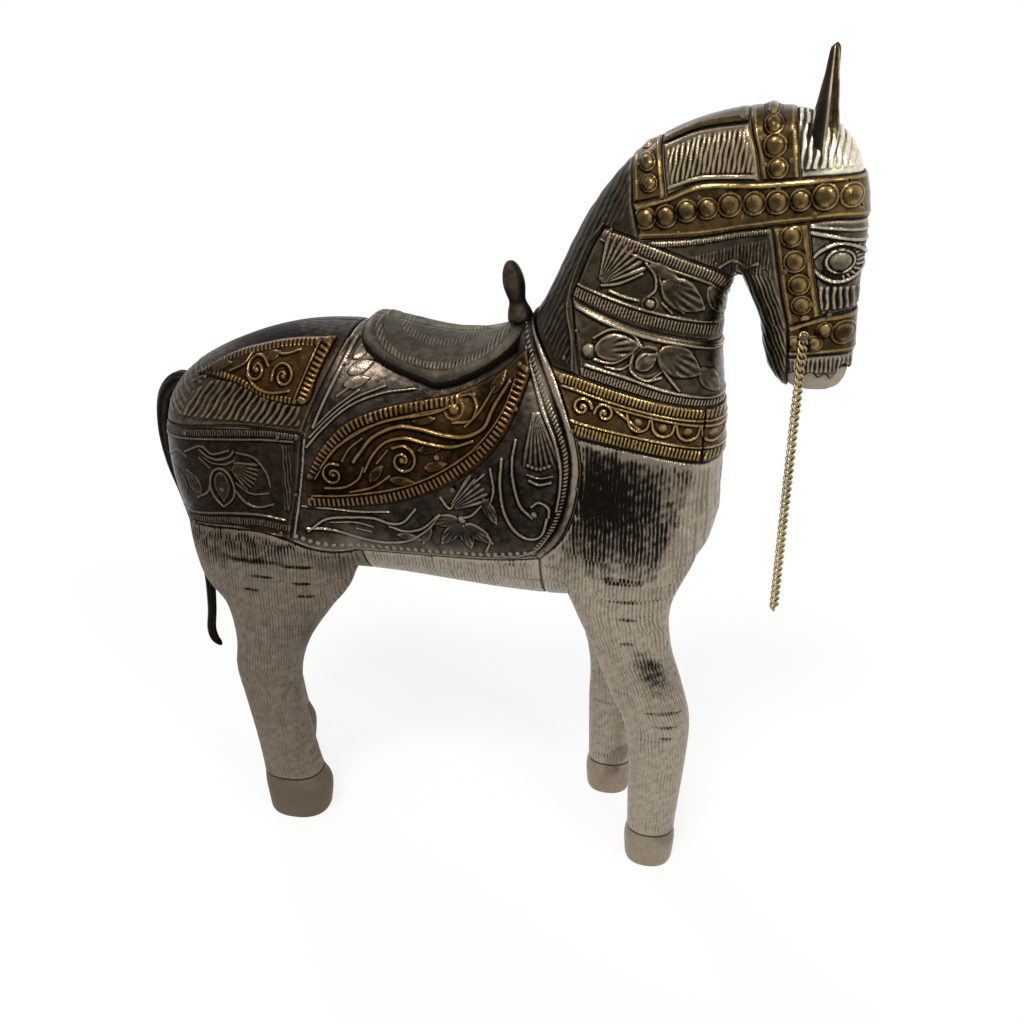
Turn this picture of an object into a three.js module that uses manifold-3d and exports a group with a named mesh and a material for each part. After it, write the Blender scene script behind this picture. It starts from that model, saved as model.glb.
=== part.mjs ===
// A carved wooden horse clad in hammered white metal and brass sheet, nailed on plate by plate,
// with a curb chain hanging from its bit. Millimetres, +X to the nose, +Y the horse's left, +Z up.
import * as THREE from "three";
import { mergeVertices, toCreasedNormals } from "three/addons/utils/BufferGeometryUtils.js";
import Module from "manifold-3d";

const wasm = await Module();
wasm.setup();

// Sheets, gaps and fixings
const SHEET = 0.8; // thickness of the metal sheet
const CLEAR = 0.3; // gap between pieces that touch
const SEAM = 0.5; // gap between the edges of two sheets
const BRASS_RISE = 0.5; // how far a brass strap stands above the plates beside it
const OVERLAY = 0.7; // thickness of the brass laid over a plate

// The legs
const STANCE = 19.5; // from the middle plane to the middle of a leg
const LAG = 20; // how far the left hooves stand behind the right ones
const LAG_TOP = 126; // height where the left legs start to lean back
const LAG_FULL = 76; // height where they are a full step behind
const LEG_JOINT = 97; // height where the carved legs are dowelled to the body
const DOWEL = { radius: 4, length: 12 };
const HOOF_FORE = 13.5; // height of the front hoof caps
const HOOF_HIND = 17.5; // height of the rear hoof caps

// The saddle
const PAD_RISE = 3; // how far the carved saddle stands above the back
const POMMEL = { x: 14.6, lean: -11.5 };
const PEG = 1.5; // radius of the pegs of the pommel, the ears and the tail
const PEG_LENGTH = 7;

// The ears
const EAR = { x: 105.6, y: 11.4, sink: 4.45, height: 30, radius: 4.3, wall: 1, lean: 4, turn: 37 };
const EAR_ARC = Math.PI * 1.25; // how far round the leaf is curled
const EAR_SHIFT = 0.8; // share of its taper by which the leaf leans forward

// The bit nail and the curb chain
const NAIL = { x: 105.4, z: 199.4, shank: 0.4, head: 1.2, depth: 7, thickness: 0.7 };
const WIRE = 0.45; // radius of the wire of a link
const LINK = { length: 3, width: 2.6 }; // between the wire's centres
const FUSED_LAP = 0.1; // how deep links of one length press into each other
const CHAIN_GAP = 0.2; // between the wires of links that turn
const CHAIN_LENGTHS = [11, 11, 11, 10]; // links in each stiff length of the chain
const CHAIN_OFFSET = 2.4; // from the nose band to the middle of the chain

// The carving, as sections: top or front point, bottom or back point, half the width
const TORSO = [
  [-111.5, 157, -111.5, 137, 9],
  [-108, 168, -108.5, 121, 18],
  [-98, 177.5, -100, 108, 25],
  [-84, 184.5, -85, 103, 28.5],
  [-67, 190, -66, 102, 29.5],
  [-50, 192.5, -46, 103, 29],
  [-33, 192, -26, 103, 28.5],
  [-14, 188.5, -6, 102, 28.5],
  [2, 188, 14, 101, 29],
  [20, 192, 34, 101, 29],
  [40, 192, 54, 104, 28.5],
  [60, 186, 69, 110, 27],
  [76, 174, 79, 122, 21],
  [82.5, 160, 83, 138, 11],
];
const NECK = [
  [0, 178, 78, 122, 26],
  [14, 191.5, 84.5, 140, 26],
  [22, 200.5, 85.5, 158, 25],
  [27.5, 211, 84.5, 176, 23],
  [33.5, 224, 82, 196, 20.5],
  [41, 237, 82.5, 210, 18],
  [52, 249.5, 88, 220, 16.5],
  [67, 258, 97, 231, 15.5],
  [84, 262.5, 105, 242, 14.5],
  [98, 262, 110, 250, 12],
];
const HEAD = [
  [80, 259, 70, 230, 14],
  [97, 262, 79, 220, 15.5],
  [110, 256, 84.5, 215.5, 16.5],
  [118, 244.5, 87, 211.5, 16.8],
  [121.3, 230, 89.5, 206.5, 16],
  [121.3, 217, 92.5, 200, 14.8],
  [121.5, 205, 95.8, 192.5, 13.6],
  [122.5, 194, 99.5, 185.5, 12.4],
  [121.2, 186, 104, 181.3, 10.8],
  [117.5, 181.5, 108.5, 179.8, 7],
];
const FORE_LEG = [
  [70, 142, 40, 134, 7.5],
  [74.5, 124, 34, 116, 11.4],
  [72.5, 105, 39, 102, 12.2],
  [73, 90, 45.5, 88, 11.2],
  [77, 75, 52, 71, 10.2],
  [80.6, 61, 58, 57, 9.8],
  [80.3, 45, 60, 42, 9.4],
  [79, 28, 60.3, 27, 9],
  [78, 14, 60.6, 14, 8.8],
  [78.4, 9, 59.8, 9, 9.4],
  [77.6, -2, 60.6, -2, 9.2],
];
const HIND_LEG = [
  [-44, 146, -96, 150, 7.5],
  [-37, 122, -103, 126, 12.4],
  [-41.5, 103, -100.5, 103, 13],
  [-50.5, 90.5, -91.5, 91, 12],
  [-59.5, 76, -89, 76.5, 11],
  [-63.7, 62, -90, 64, 10.3],
  [-63.5, 47, -87.8, 51, 9.8],
  [-61, 32, -85, 34, 9.6],
  [-58.2, 18, -83, 19, 9.8],
  [-55.2, 11, -82.6, 12, 11],
  [-57.5, -2, -80.5, -2, 10.2],
];

// Cutting prisms and blocks run out past the horse on every side
const OUTSIDE = 2 * Math.max(...[...TORSO, ...NECK, ...HEAD].flat());

// The seams between the sheets, seen from the side. Each runs from the tail towards the nose or downwards.
const BROW_TOP = [[52.2, 236], [62.2, 238.6], [72, 242.6], [88.7, 243.3]];
const BROW_TOP_FRONT = [[99.8, 244.5], [111, 245.6], [135, 246.5]];
const BROW_LOW = [[55.3, 225.8], [73, 227.3], [93.3, 230.9]];
const BROW_LOW_FRONT = [[103.3, 232.5], [112, 233.5], [135, 232.7]];
const NAPE_REAR = [[47, 262], [50.5, 249], [52.2, 236]];
const NAPE_FRONT = [[58, 264], [59.6, 252.6], [62.2, 238.6]];
const CREST_LOW = [[59.6, 252.6], [70.4, 257], [84.4, 259.4]];
const POLL_REAR = [[83.5, 272], [84.4, 259.4], [86.9, 251.7], [88.7, 243.3]];
const POLL_FRONT = [[97, 272], [98, 258], [99.8, 244.5]];
const CHEEK_REAR = [[93.3, 230.9], [97.4, 212.1], [100.5, 201.3]];
const CHEEK_FRONT = [[103.3, 232.5], [105.6, 221.6], [109.7, 205]];
const NOSE_TOP = [[109.7, 205], [120.5, 206.2], [135, 206]];
const NOSE_LOW = [[101.6, 191.1], [114, 192.8], [135, 193]];
const MUZZLE_LOW = [[102, 185.2], [109, 186], [114, 185], [120, 188.5], [135, 189]];
const THROAT = [[67.4, 221.5], [78.1, 217], [84, 212.5], [88, 196], [91, 178]];
const NECK_TOP = [[43.9, 228.8], [55.3, 225.8], [67.4, 221.5], [78.1, 217], [84, 212.5], [88, 196]];
const NECK_REAR = [[43.9, 228.8], [40, 221.6], [35, 207.7]];
const NECK_REAR_LOW = [[35, 207.7], [37.3, 195.1], [39.3, 184.6]];
const NECK_MIDDLE = [[35, 207.7], [44.5, 204.3], [57, 200.2], [69, 197.5], [79, 195], [89, 192]];
const BREAST_TOP = [[39.3, 184.6], [58.2, 179.5], [76.5, 175.1], [95, 171.5]];
const BREAST_LOW = [[38.8, 165.4], [59.2, 161.7], [78.7, 157.1], [95, 153.5]];
const BREAST_LAP = 77.8; // the right end of the breast band lies here, a little short of the middle
const CLOTH_FRONT = [[18.5, 206], [22.5, 197.2], [29.8, 186.4], [33.2, 179.4], [38.8, 165.4]];
const CLOTH_FRONT_LOW = [[38.8, 165.4], [40.7, 155], [39.1, 141], [34.6, 129.5], [27.5, 121.5]];
const CLOTH_LOW = [[-58.8, 121.4], [-50, 118.3], [-36, 116.8], [-4, 118.1], [13.8, 119.4], [27.5, 121.5]];
const CLOTH_REAR = [[-38, 206], [-40.2, 190.5], [-48.2, 171.4], [-52.4, 160.5]];
const CLOTH_REAR_LOW = [[-52.4, 160.5], [-54.6, 143.7], [-58, 129], [-58.8, 121.4]];
const THIGH_TOP = [[-128, 155], [-98.3, 158.3], [-75, 161.4], [-52.4, 160.5]];
const THIGH_LOW = [[-128, 121.5], [-94.2, 123.3], [-72, 124.3], [-58.8, 121.4]];
const SEAT = [
  [-36.4, 206], [-36, 190.5], [-31.1, 185.2], [-24, 181.6], [-13.6, 178.2], [-6.7, 177],
  [3, 179.8], [11.9, 185], [17.8, 190.6], [19.6, 196], [17.5, 206],
];
const LEAF_TOP = [
  [-51.8, 146], [-46, 156.5], [-37.8, 165.2], [-26.1, 170.6], [-13, 173.6], [0, 176.6], [12.4, 183],
  [21.4, 190.5],
];
const LEAF_LOW = [
  [23.4, 184], [20.2, 173.5], [15, 162.4], [6.5, 152.8], [-6, 144.4], [-20, 138.8], [-37, 135.4],
  [-52.6, 134.4],
];
const CRUPPER_TOP = [[-95.3, 174.6], [-80, 183], [-68.8, 186.6], [-57.9, 188.8], [-43.4, 190]];
const CRUPPER_LOW = [[-44.6, 186.5], [-47.6, 178.4], [-51, 170], [-64.1, 170.6], [-76, 174.2], [-86, 174.9]];
const BELLY_FRONT = 27.5;
const BELLY_REAR = -36;
const UNDER_BELLY = 88;

// How far the left legs, and the seams on them, lie behind the right ones at a height
function lagAt(z) {
  return LAG * THREE.MathUtils.smoothstep(LAG_TOP - z, 0, LAG_TOP - LAG_FULL);
}

function reversed(points) {
  return [...points].reverse();
}

// A closed BufferGeometry as a solid
function solidOf(geometry) {
  const bare = geometry.clone();
  bare.deleteAttribute("normal");
  bare.deleteAttribute("uv");
  const merged = mergeVertices(bare, 1e-4);
  const vertProperties = merged.attributes.position.array;
  const triVerts = new Uint32Array(merged.index.array);
  return new wasm.Manifold(new wasm.Mesh({ numProp: 3, vertProperties, triVerts }));
}

// A solid as a BufferGeometry for a mesh
function geometryOf(solid) {
  const mesh = solid.getMesh();
  const geometry = new THREE.BufferGeometry();
  const positions = new Float32Array(mesh.numVert * 3);
  for (let i = 0; i < mesh.numVert; i++) {
    positions.set(mesh.vertProperties.subarray(i * mesh.numProp, i * mesh.numProp + 3), i * 3);
  }
  geometry.setAttribute("position", new THREE.BufferAttribute(positions, 3));
  geometry.setIndex(new THREE.BufferAttribute(new Uint32Array(mesh.triVerts), 1));
  return toCreasedNormals(geometry, 0.6);
}

// The largest body of a cut, without the slivers that a cut along a crease leaves
function largest(solid) {
  const bodies = solid.decompose();
  return bodies.reduce((best, body) => (body.volume() > best.volume() ? body : best));
}

// Rings of points joined into a closed skin, with a fan over each end
function skin(rings) {
  const sides = rings[0].length;
  const points = rings.flat();
  const index = [];
  for (let i = 0; i + 1 < rings.length; i++) {
    for (let k = 0; k < sides; k++) {
      const here = i * sides + k;
      const next = i * sides + ((k + 1) % sides);
      index.push(here, next + sides, next, here, here + sides, next + sides);
    }
  }
  for (const [ring, ends] of [[0, rings[0]], [rings.length - 1, rings.at(-1)]]) {
    const middle = points.length;
    points.push(ends.reduce((sum, p) => sum.add(p), new THREE.Vector3()).divideScalar(sides));
    for (let k = 0; k < sides; k++) {
      const here = ring * sides + k;
      const next = ring * sides + ((k + 1) % sides);
      index.push(middle, ring ? next : here, ring ? here : next);
    }
  }
  const geometry = new THREE.BufferGeometry().setFromPoints(points);
  geometry.setIndex(index);
  geometry.computeVertexNormals();
  return geometry;
}

// A limb or trunk lofted through its sections, each a rounded oblong across the body
function loft(sections, { rings, sides, square = 2.3, side = 0, lags = false }) {
  const end = (at) => {
    const points = sections.map((s) => new THREE.Vector3(s[at], s[4], s[at + 1]));
    return new THREE.CatmullRomCurve3(points, false, "catmullrom", 0.5);
  };
  const upper = end(0);
  const lower = end(2);
  const bend = (value) => Math.sign(value) * Math.abs(value) ** (2 / square);
  const all = [];
  for (let i = 0; i <= rings; i++) {
    const top = upper.getPoint(i / rings);
    const low = lower.getPoint(i / rings);
    const ring = [];
    for (let k = 0; k < sides; k++) {
      const turn = (2 * Math.PI * (k + 0.5)) / sides;
      const along = bend(Math.cos(turn)) / 2;
      const x = (top.x + low.x) / 2 + (top.x - low.x) * along;
      const z = (top.z + low.z) / 2 + (top.z - low.z) * along;
      const y = side * STANCE + top.y * bend(Math.sin(turn));
      ring.push(new THREE.Vector3(x - (lags ? lagAt(z) : 0), y, z));
    }
    all.push(ring);
  }
  return skin(all);
}

const BODY = [
  loft(TORSO, { rings: 12, sides: 14 }),
  loft(NECK, { rings: 8, sides: 12 }),
  loft(HEAD, { rings: 8, sides: 12, square: 2.6 }),
  loft(FORE_LEG, { rings: 8, sides: 8, side: -1 }),
  loft(FORE_LEG, { rings: 8, sides: 8, side: 1, lags: true }),
  loft(HIND_LEG, { rings: 8, sides: 8, side: -1 }),
  loft(HIND_LEG, { rings: 8, sides: 8, side: 1, lags: true }),
];
const TRUNK = BODY.slice(0, 1);

// Lofts joined into one carving, with its surface moved out by a distance, or in by a negative one
function carved(lofts, grow) {
  const grown = lofts.map((geometry) => {
    const moved = geometry.clone();
    const position = moved.attributes.position;
    const normal = geometry.attributes.normal;
    for (let i = 0; i < position.count; i++) {
      const x = position.getX(i) + grow * normal.getX(i);
      const y = position.getY(i) + grow * normal.getY(i);
      position.setXYZ(i, x, y, position.getZ(i) + grow * normal.getZ(i));
    }
    return solidOf(moved);
  });
  return grown.reduce((sum, limb) => sum.add(limb));
}

const grownBodies = new Map();
function body(grow) {
  if (!grownBodies.has(grow)) {
    grownBodies.set(grow, carved(BODY, grow));
  }
  return grownBodies.get(grow);
}

// An outline moved in by a distance, or out by a negative one
function inset(outline, distance) {
  const area = outline.reduce((sum, [x, z], i) => {
    const [nextX, nextZ] = outline[(i + 1) % outline.length];
    return sum + x * nextZ - nextX * z;
  }, 0);
  const points = (area < 0 ? reversed(outline) : outline).map(([x, z]) => new THREE.Vector2(x, z));
  return points.map((point, i) => {
    const before = point.clone().sub(points.at(i - 1)).normalize();
    const after = points[(i + 1) % points.length].clone().sub(point).normalize();
    const inward = new THREE.Vector2(-before.y - after.y, before.x + after.x).normalize();
    const spread = inward.dot(new THREE.Vector2(-after.y, after.x));
    return point.clone().addScaledVector(inward, distance / Math.max(spread, 0.4));
  });
}

// A prism across the body over an outline, from one y to another
function prism(points, fromY, toY) {
  const geometry = new THREE.ExtrudeGeometry(new THREE.Shape(points), {
    depth: toY - fromY,
    bevelEnabled: false,
  });
  geometry.rotateX(Math.PI / 2);
  geometry.translate(0, toY, 0);
  return solidOf(geometry);
}

// The prism over one side's share of an outline. The left side's seams follow its legs.
function sidePrism(outline, side, distance) {
  const placed = side > 0 ? outline.map(([x, z]) => [x - lagAt(z), z]) : outline;
  const points = inset(placed, distance);
  return side > 0 ? prism(points, SEAM / 2, OUTSIDE) : prism(points, -OUTSIDE, -SEAM / 2);
}

function block(min, max) {
  const size = new THREE.Vector3().subVectors(max, min);
  const geometry = new THREE.BoxGeometry(size.x, size.y, size.z);
  geometry.translate(...new THREE.Vector3().addVectors(min, max).multiplyScalar(0.5));
  return solidOf(geometry);
}

function aboveFloor(z) {
  return block(new THREE.Vector3(-OUTSIDE, -OUTSIDE, z), new THREE.Vector3().setScalar(OUTSIDE));
}

// A round bar between two points
function bar(from, to, radius, sides = 16) {
  const along = new THREE.Vector3().subVectors(to, from);
  const geometry = new THREE.CylinderGeometry(radius, radius, along.length(), sides);
  geometry.applyQuaternion(
    new THREE.Quaternion().setFromUnitVectors(new THREE.Vector3(0, 1, 0), along.clone().normalize()),
  );
  geometry.translate(...new THREE.Vector3().addVectors(from, to).multiplyScalar(0.5));
  return solidOf(geometry);
}

// Where the right side of a solid lies at a place seen from the side, and where its top lies seen from above
const NEEDLE = 0.05;
function rightFace(solid, x, z) {
  const needle = bar(new THREE.Vector3(x, -OUTSIDE, z), new THREE.Vector3(x, 0, z), NEEDLE, 6);
  return needle.intersect(solid).boundingBox().min[1];
}
function topFace(solid, x, y = 0) {
  const needle = bar(new THREE.Vector3(x, y, 0), new THREE.Vector3(x, y, OUTSIDE), NEEDLE, 6);
  return needle.intersect(solid).boundingBox().max[2];
}

const silver = (roughness, tone = 0xb9b4aa) => ({ color: tone, roughness, metalness: 0.9 });
const FINISH = {
  wood: { color: 0x8a6844, roughness: 0.8, metalness: 0 },
  plate: silver(0.35),
  dullPlate: silver(0.55, 0x9c958a),
  brass: { color: 0x9a7430, roughness: 0.4, metalness: 0.95 },
  bronze: { color: 0x3a2a1c, roughness: 0.5, metalness: 0.8 },
  gilt: { color: 0xa88a48, roughness: 0.35, metalness: 0.95 },
};

const horse = new THREE.Group();
const standing = new THREE.Group();
horse.add(standing);

function add(name, solid, finish, parent = standing) {
  const mesh = new THREE.Mesh(geometryOf(largest(solid)), new THREE.MeshStandardMaterial(finish));
  mesh.name = name;
  parent.add(mesh);
}

const sides = [["right", -1], ["left", 1]];

// The ears, curled leaves with a round peg
const earFrames = sides.map(([, side]) => {
  const scalp = topFace(body(0), EAR.x, side * EAR.y);
  const root = new THREE.Vector3(EAR.x, side * EAR.y, scalp - EAR.sink);
  const lean = new THREE.Vector3(0, side * Math.sin(THREE.MathUtils.degToRad(EAR.lean)), 1).normalize();
  return { side, root, lean };
});

function earPeg({ root, lean }, radius, length) {
  const foot = root.clone().addScaledVector(lean, -length);
  return bar(foot, root.clone().addScaledVector(lean, EAR.radius), radius, 10);
}

function ear(frame) {
  const rings = 6;
  const steps = 4;
  const opening = frame.side * THREE.MathUtils.degToRad(EAR.turn);
  const sections = [];
  for (let i = 0; i <= rings; i++) {
    const t = i / rings;
    const radius = EAR.radius * Math.max(Math.sin(Math.PI * (0.2 + 0.8 * t)) ** 0.85, 0.13);
    const wall = Math.min(EAR.wall, radius * 0.5);
    const centre = frame.root.clone().addScaledVector(frame.lean, EAR.height * t);
    centre.x += (EAR.radius - radius) * EAR_SHIFT;
    const arc = (reach, turn) =>
      Array.from({ length: steps + 1 }, (_, k) => {
        const angle = opening + Math.PI + turn * (k / steps - 0.5) * EAR_ARC;
        return centre.clone().add(new THREE.Vector3(reach * Math.cos(angle), reach * Math.sin(angle), 0));
      });
    sections.push([...arc(radius, 1), ...arc(radius - wall, -1)]);
  }
  const count = sections[0].length;
  const index = [];
  for (let i = 0; i < rings; i++) {
    for (let k = 0; k < count; k++) {
      const here = i * count + k;
      const next = i * count + ((k + 1) % count);
      index.push(here, next, next + count, here, next + count, here + count);
    }
  }
  for (let k = 0; k < steps; k++) {
    const across = count - 1 - k;
    const top = rings * count;
    index.push(k, across, k + 1, k + 1, across, across - 1);
    index.push(top + k, top + k + 1, top + across, top + k + 1, top + across - 1, top + across);
  }
  const geometry = new THREE.BufferGeometry().setFromPoints(sections.flat());
  geometry.setIndex(index);
  const cup = solidOf(geometry).add(earPeg(frame, EAR.radius * 0.55, 0));
  return cup.subtract(body(CLEAR)).add(earPeg(frame, PEG, PEG_LENGTH));
}

// The pommel, a turned knob on the front of the saddle
const pommelTurn = THREE.MathUtils.degToRad(POMMEL.lean);
const pommelSeat = topFace(carved(TRUNK, PAD_RISE + SHEET), POMMEL.x);
const KNOB = [
  [4.2, 0], [4.3, 1], [3.2, 2.6], [2.5, 5], [2.4, 7.6], [3.1, 9.2], [3.75, 12], [3.4, 15], [1.4, 19],
  [0, 20],
];
function pommel() {
  const profile = [[0, -PEG_LENGTH], [PEG, -PEG_LENGTH], [PEG, CLEAR], ...KNOB.map(([r, z]) => [r, z + CLEAR])];
  const geometry = new THREE.LatheGeometry(profile.map(([r, z]) => new THREE.Vector2(r, z)), 12);
  geometry.rotateX(Math.PI / 2);
  geometry.rotateY(pommelTurn);
  geometry.translate(POMMEL.x, 0, pommelSeat);
  return solidOf(geometry);
}
function pommelBore() {
  const top = new THREE.Vector3(POMMEL.x, 0, pommelSeat);
  const up = new THREE.Vector3(Math.sin(pommelTurn), 0, Math.cos(pommelTurn));
  const low = top.clone().addScaledVector(up, -PEG_LENGTH - CLEAR);
  return bar(low, top.clone().addScaledVector(up, PEG_LENGTH), PEG + CLEAR, 12);
}

// The tail, a tapering cast rod on a tang in the rump
const TAIL = [
  [-104, 165, 3.4], [-110, 167, 4.1], [-115.2, 161, 4.7], [-117.6, 149, 4.9], [-116, 136, 4.5], [-113.2, 122, 3.9],
  [-110, 105, 3], [-108.3, 90, 2.2], [-108.6, 74, 1.7], [-109.8, 62, 1.5], [-108.4, 56.6, 0.9],
];
const TANG = { x: -113, z: 156, length: 14 };
function tail() {
  const path = new THREE.CatmullRomCurve3(TAIL.map(([x, z, r]) => new THREE.Vector3(x, r, z)));
  const steps = 14;
  const rings = [];
  for (let i = 0; i <= steps; i++) {
    const at = path.getPoint(i / steps);
    const forward = path.getTangent(i / steps).setY(0).normalize();
    const out = new THREE.Vector3(-forward.z, 0, forward.x);
    const ring = [];
    for (let k = 0; k < 8; k++) {
      const turn = (2 * Math.PI * k) / 8;
      const centre = new THREE.Vector3(at.x, 0, at.z);
      ring.push(
        centre.addScaledVector(out, at.y * Math.cos(turn)).add(new THREE.Vector3(0, at.y * Math.sin(turn), 0)),
      );
    }
    rings.push(ring);
  }
  return solidOf(skin(rings)).subtract(body(CLEAR)).add(tang(PEG, 0));
}
function tang(radius, extra) {
  const from = new THREE.Vector3(TANG.x, 0, TANG.z);
  return bar(from, new THREE.Vector3(TANG.x + TANG.length + extra, 0, TANG.z), radius);
}

// The bit nail, whose shank carries the first link of the chain
const bandFace = rightFace(body(BRASS_RISE), NAIL.x, NAIL.z);
const chainY = bandFace - CHAIN_OFFSET;
function nail() {
  const headFace = CHAIN_OFFSET + LINK.width / 2 + WIRE;
  const profile = [
    [0, -NAIL.depth], [NAIL.shank, -NAIL.depth + 2], [NAIL.shank, headFace], [NAIL.head, headFace],
    [NAIL.head * 0.85, headFace + NAIL.thickness * 0.6], [0, headFace + NAIL.thickness],
  ];
  const geometry = new THREE.LatheGeometry(profile.map(([r, y]) => new THREE.Vector2(r, y)), 12);
  geometry.rotateX(Math.PI);
  geometry.translate(NAIL.x, bandFace, NAIL.z);
  return solidOf(geometry);
}
function nailBore() {
  const out = new THREE.Vector3(NAIL.x, bandFace - 1, NAIL.z);
  return bar(out, new THREE.Vector3(NAIL.x, bandFace + NAIL.depth + CLEAR, NAIL.z), NAIL.shank + CLEAR, 12);
}

// A curb link hanging from a height, turned a quarter between its two ends
function link(top) {
  const steps = 8;
  const round = 4;
  const points = [];
  for (let i = 0; i < steps; i++) {
    const turn = (2 * Math.PI * i) / steps;
    const at = (angle) => {
      const across = (LINK.width / 2) * Math.cos(angle);
      const up = (LINK.length / 2) * Math.sin(angle);
      const twist = (Math.PI / 4) * (1 - Math.sin((Math.PI * up) / LINK.length));
      return new THREE.Vector3(across * Math.cos(twist), across * Math.sin(twist), up);
    };
    const centre = at(turn);
    const forward = at(turn + 0.01).sub(at(turn - 0.01)).normalize();
    const out = centre.clone().addScaledVector(forward, -centre.dot(forward)).normalize();
    const over = new THREE.Vector3().crossVectors(forward, out);
    for (let k = 0; k < round; k++) {
      const angle = (2 * Math.PI * k) / round;
      const point = centre.clone().addScaledVector(out, WIRE * Math.cos(angle));
      points.push(point.addScaledVector(over, WIRE * Math.sin(angle)));
    }
  }
  const index = [];
  for (let i = 0; i < steps; i++) {
    for (let k = 0; k < round; k++) {
      const here = i * round + k;
      const next = i * round + ((k + 1) % round);
      const onward = ((i + 1) % steps) * round;
      index.push(here, next, onward + ((k + 1) % round), here, onward + ((k + 1) % round), onward + k);
    }
  }
  const geometry = new THREE.BufferGeometry().setFromPoints(points);
  geometry.setIndex(index);
  geometry.translate(NAIL.x, chainY, top - LINK.length / 2);
  return solidOf(geometry);
}

// The chain, in stiff lengths that hang in each other
function hangChain() {
  let top = NAIL.z + NAIL.shank + CHAIN_GAP + WIRE;
  CHAIN_LENGTHS.forEach((links, i) => {
    let length = null;
    for (let k = 0; k < links; k++) {
      const made = link(top);
      length = length ? length.add(made) : made;
      const lap = k + 1 < links ? 2 * WIRE - FUSED_LAP : 2 * WIRE + CHAIN_GAP;
      top += lap - LINK.length;
    }
    add(`rein_chain_${i + 1}`, length, FINISH.gilt);
  });
}

// The room of one leg under a height
function legRoom(front, side, top) {
  const end = front ? OUTSIDE : -OUTSIDE;
  const from = new THREE.Vector3(Math.min(0, end), Math.min(0, side * OUTSIDE), 0);
  return block(from, new THREE.Vector3(Math.max(0, end), Math.max(0, side * OUTSIDE), top));
}

// The carved legs stand on sheet soles. Each has a dowel, up into the body, in the middle of its top.
const LEGS = [true, false].flatMap((front) => sides.map(([name, side]) => ({ front, name, side })));
const carving = body(-SHEET - CLEAR);
for (const leg of LEGS) {
  leg.solid = carving.intersect(legRoom(leg.front, leg.side, LEG_JOINT)).intersect(aboveFloor(SHEET + CLEAR));
  const end = leg.solid.intersect(aboveFloor(LEG_JOINT - CLEAR)).boundingBox();
  leg.top = new THREE.Vector3().addVectors(new THREE.Vector3(...end.min), new THREE.Vector3(...end.max));
  leg.top.multiplyScalar(0.5).setZ(LEG_JOINT);
}
function dowel({ top }, radius, length) {
  const low = top.clone().setZ(top.z - DOWEL.radius);
  return bar(low, top.clone().setZ(top.z + length), radius);
}

// The wooden core, with the saddle carved on it, and bores for the dowels and pegs
const earBores = earFrames.map((frame) => earPeg(frame, PEG + CLEAR, PEG_LENGTH + CLEAR));
const bores = [pommelBore(), nailBore(), tang(PEG + CLEAR, CLEAR), ...earBores];
const seatPrism = (distance) => prism(inset(SEAT, distance), -OUTSIDE, OUTSIDE);
function cutBores(solid) {
  return bores.reduce((rest, bore) => rest.subtract(bore), solid);
}
function woodenCore() {
  const pad = carved(TRUNK, PAD_RISE - CLEAR).intersect(seatPrism(SHEET + CLEAR));
  const trunk = cutBores(carving.add(pad)).intersect(aboveFloor(LEG_JOINT + CLEAR));
  const sockets = LEGS.map((leg) => dowel(leg, DOWEL.radius + CLEAR, DOWEL.length + CLEAR));
  return sockets.reduce((rest, socket) => rest.subtract(socket), trunk);
}
add("wooden_core", woodenCore(), FINISH.wood);
for (const leg of LEGS) {
  const name = `wooden_leg_${leg.front ? "fore" : "hind"}_${leg.name}`;
  add(name, leg.solid.add(dowel(leg, DOWEL.radius, DOWEL.length)), FINISH.wood);
}

// The sheets lie between two depths of the surface, over an outline
function sheet(outline, side, { from = -SHEET, to = 0 } = {}) {
  const cut = side ? sidePrism(outline, side, SEAM / 2) : prism(inset(outline, SEAM / 2), -OUTSIDE, OUTSIDE);
  return cutBores(body(to).subtract(body(from)).intersect(cut));
}
const brassSheet = { to: BRASS_RISE };

const CROWN = [...POLL_FRONT, ...BROW_TOP_FRONT.slice(1), [135, 272]];
const NAPE = [...CREST_LOW, ...POLL_REAR.slice(2), ...reversed(BROW_TOP).slice(1, 3)];
const FACE = [...reversed(CHEEK_FRONT), ...BROW_LOW_FRONT.slice(1), ...reversed(NOSE_TOP).slice(0, 2)];
const JAW = [
  ...BROW_LOW, ...CHEEK_REAR.slice(1), NOSE_LOW[0], MUZZLE_LOW[0], [103, 172], [91, 172], ...reversed(THROAT),
];
const UPPER_NECK = [...NECK_TOP, ...reversed(NECK_MIDDLE), ...reversed(NECK_REAR).slice(1, 2)];
const LOWER_NECK = [...NECK_MIDDLE, ...reversed(BREAST_TOP), NECK_REAR_LOW[1]];
const MANE = [
  ...NAPE_REAR, BROW_LOW[0], ...NECK_REAR, ...NECK_REAR_LOW.slice(1), ...reversed(CLOTH_FRONT.slice(0, 3)),
  [8, 206], [8, 262],
];
const CHEEK = [...CHEEK_FRONT, ...reversed(CHEEK_REAR)];
const BREAST = [CLOTH_FRONT[2], ...BREAST_TOP, ...reversed(BREAST_LOW), CLOTH_FRONT[3]];
const SHOULDER = [
  ...BREAST_LOW, [95, HOOF_FORE], [BELLY_FRONT, HOOF_FORE], [BELLY_FRONT, UNDER_BELLY],
  ...reversed(CLOTH_FRONT_LOW).slice(0, -1),
];
const BELLY = [
  ...CLOTH_LOW.slice(2), [BELLY_FRONT, UNDER_BELLY], [BELLY_REAR, UNDER_BELLY],
];
const HAUNCH = [
  ...THIGH_LOW, ...CLOTH_LOW.slice(1, 3), [BELLY_REAR, UNDER_BELLY], [BELLY_REAR, HOOF_HIND], [-128, HOOF_HIND],
];
const THIGH = [...THIGH_TOP, ...CLOTH_REAR_LOW.slice(1), ...reversed(THIGH_LOW).slice(1)];
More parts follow.
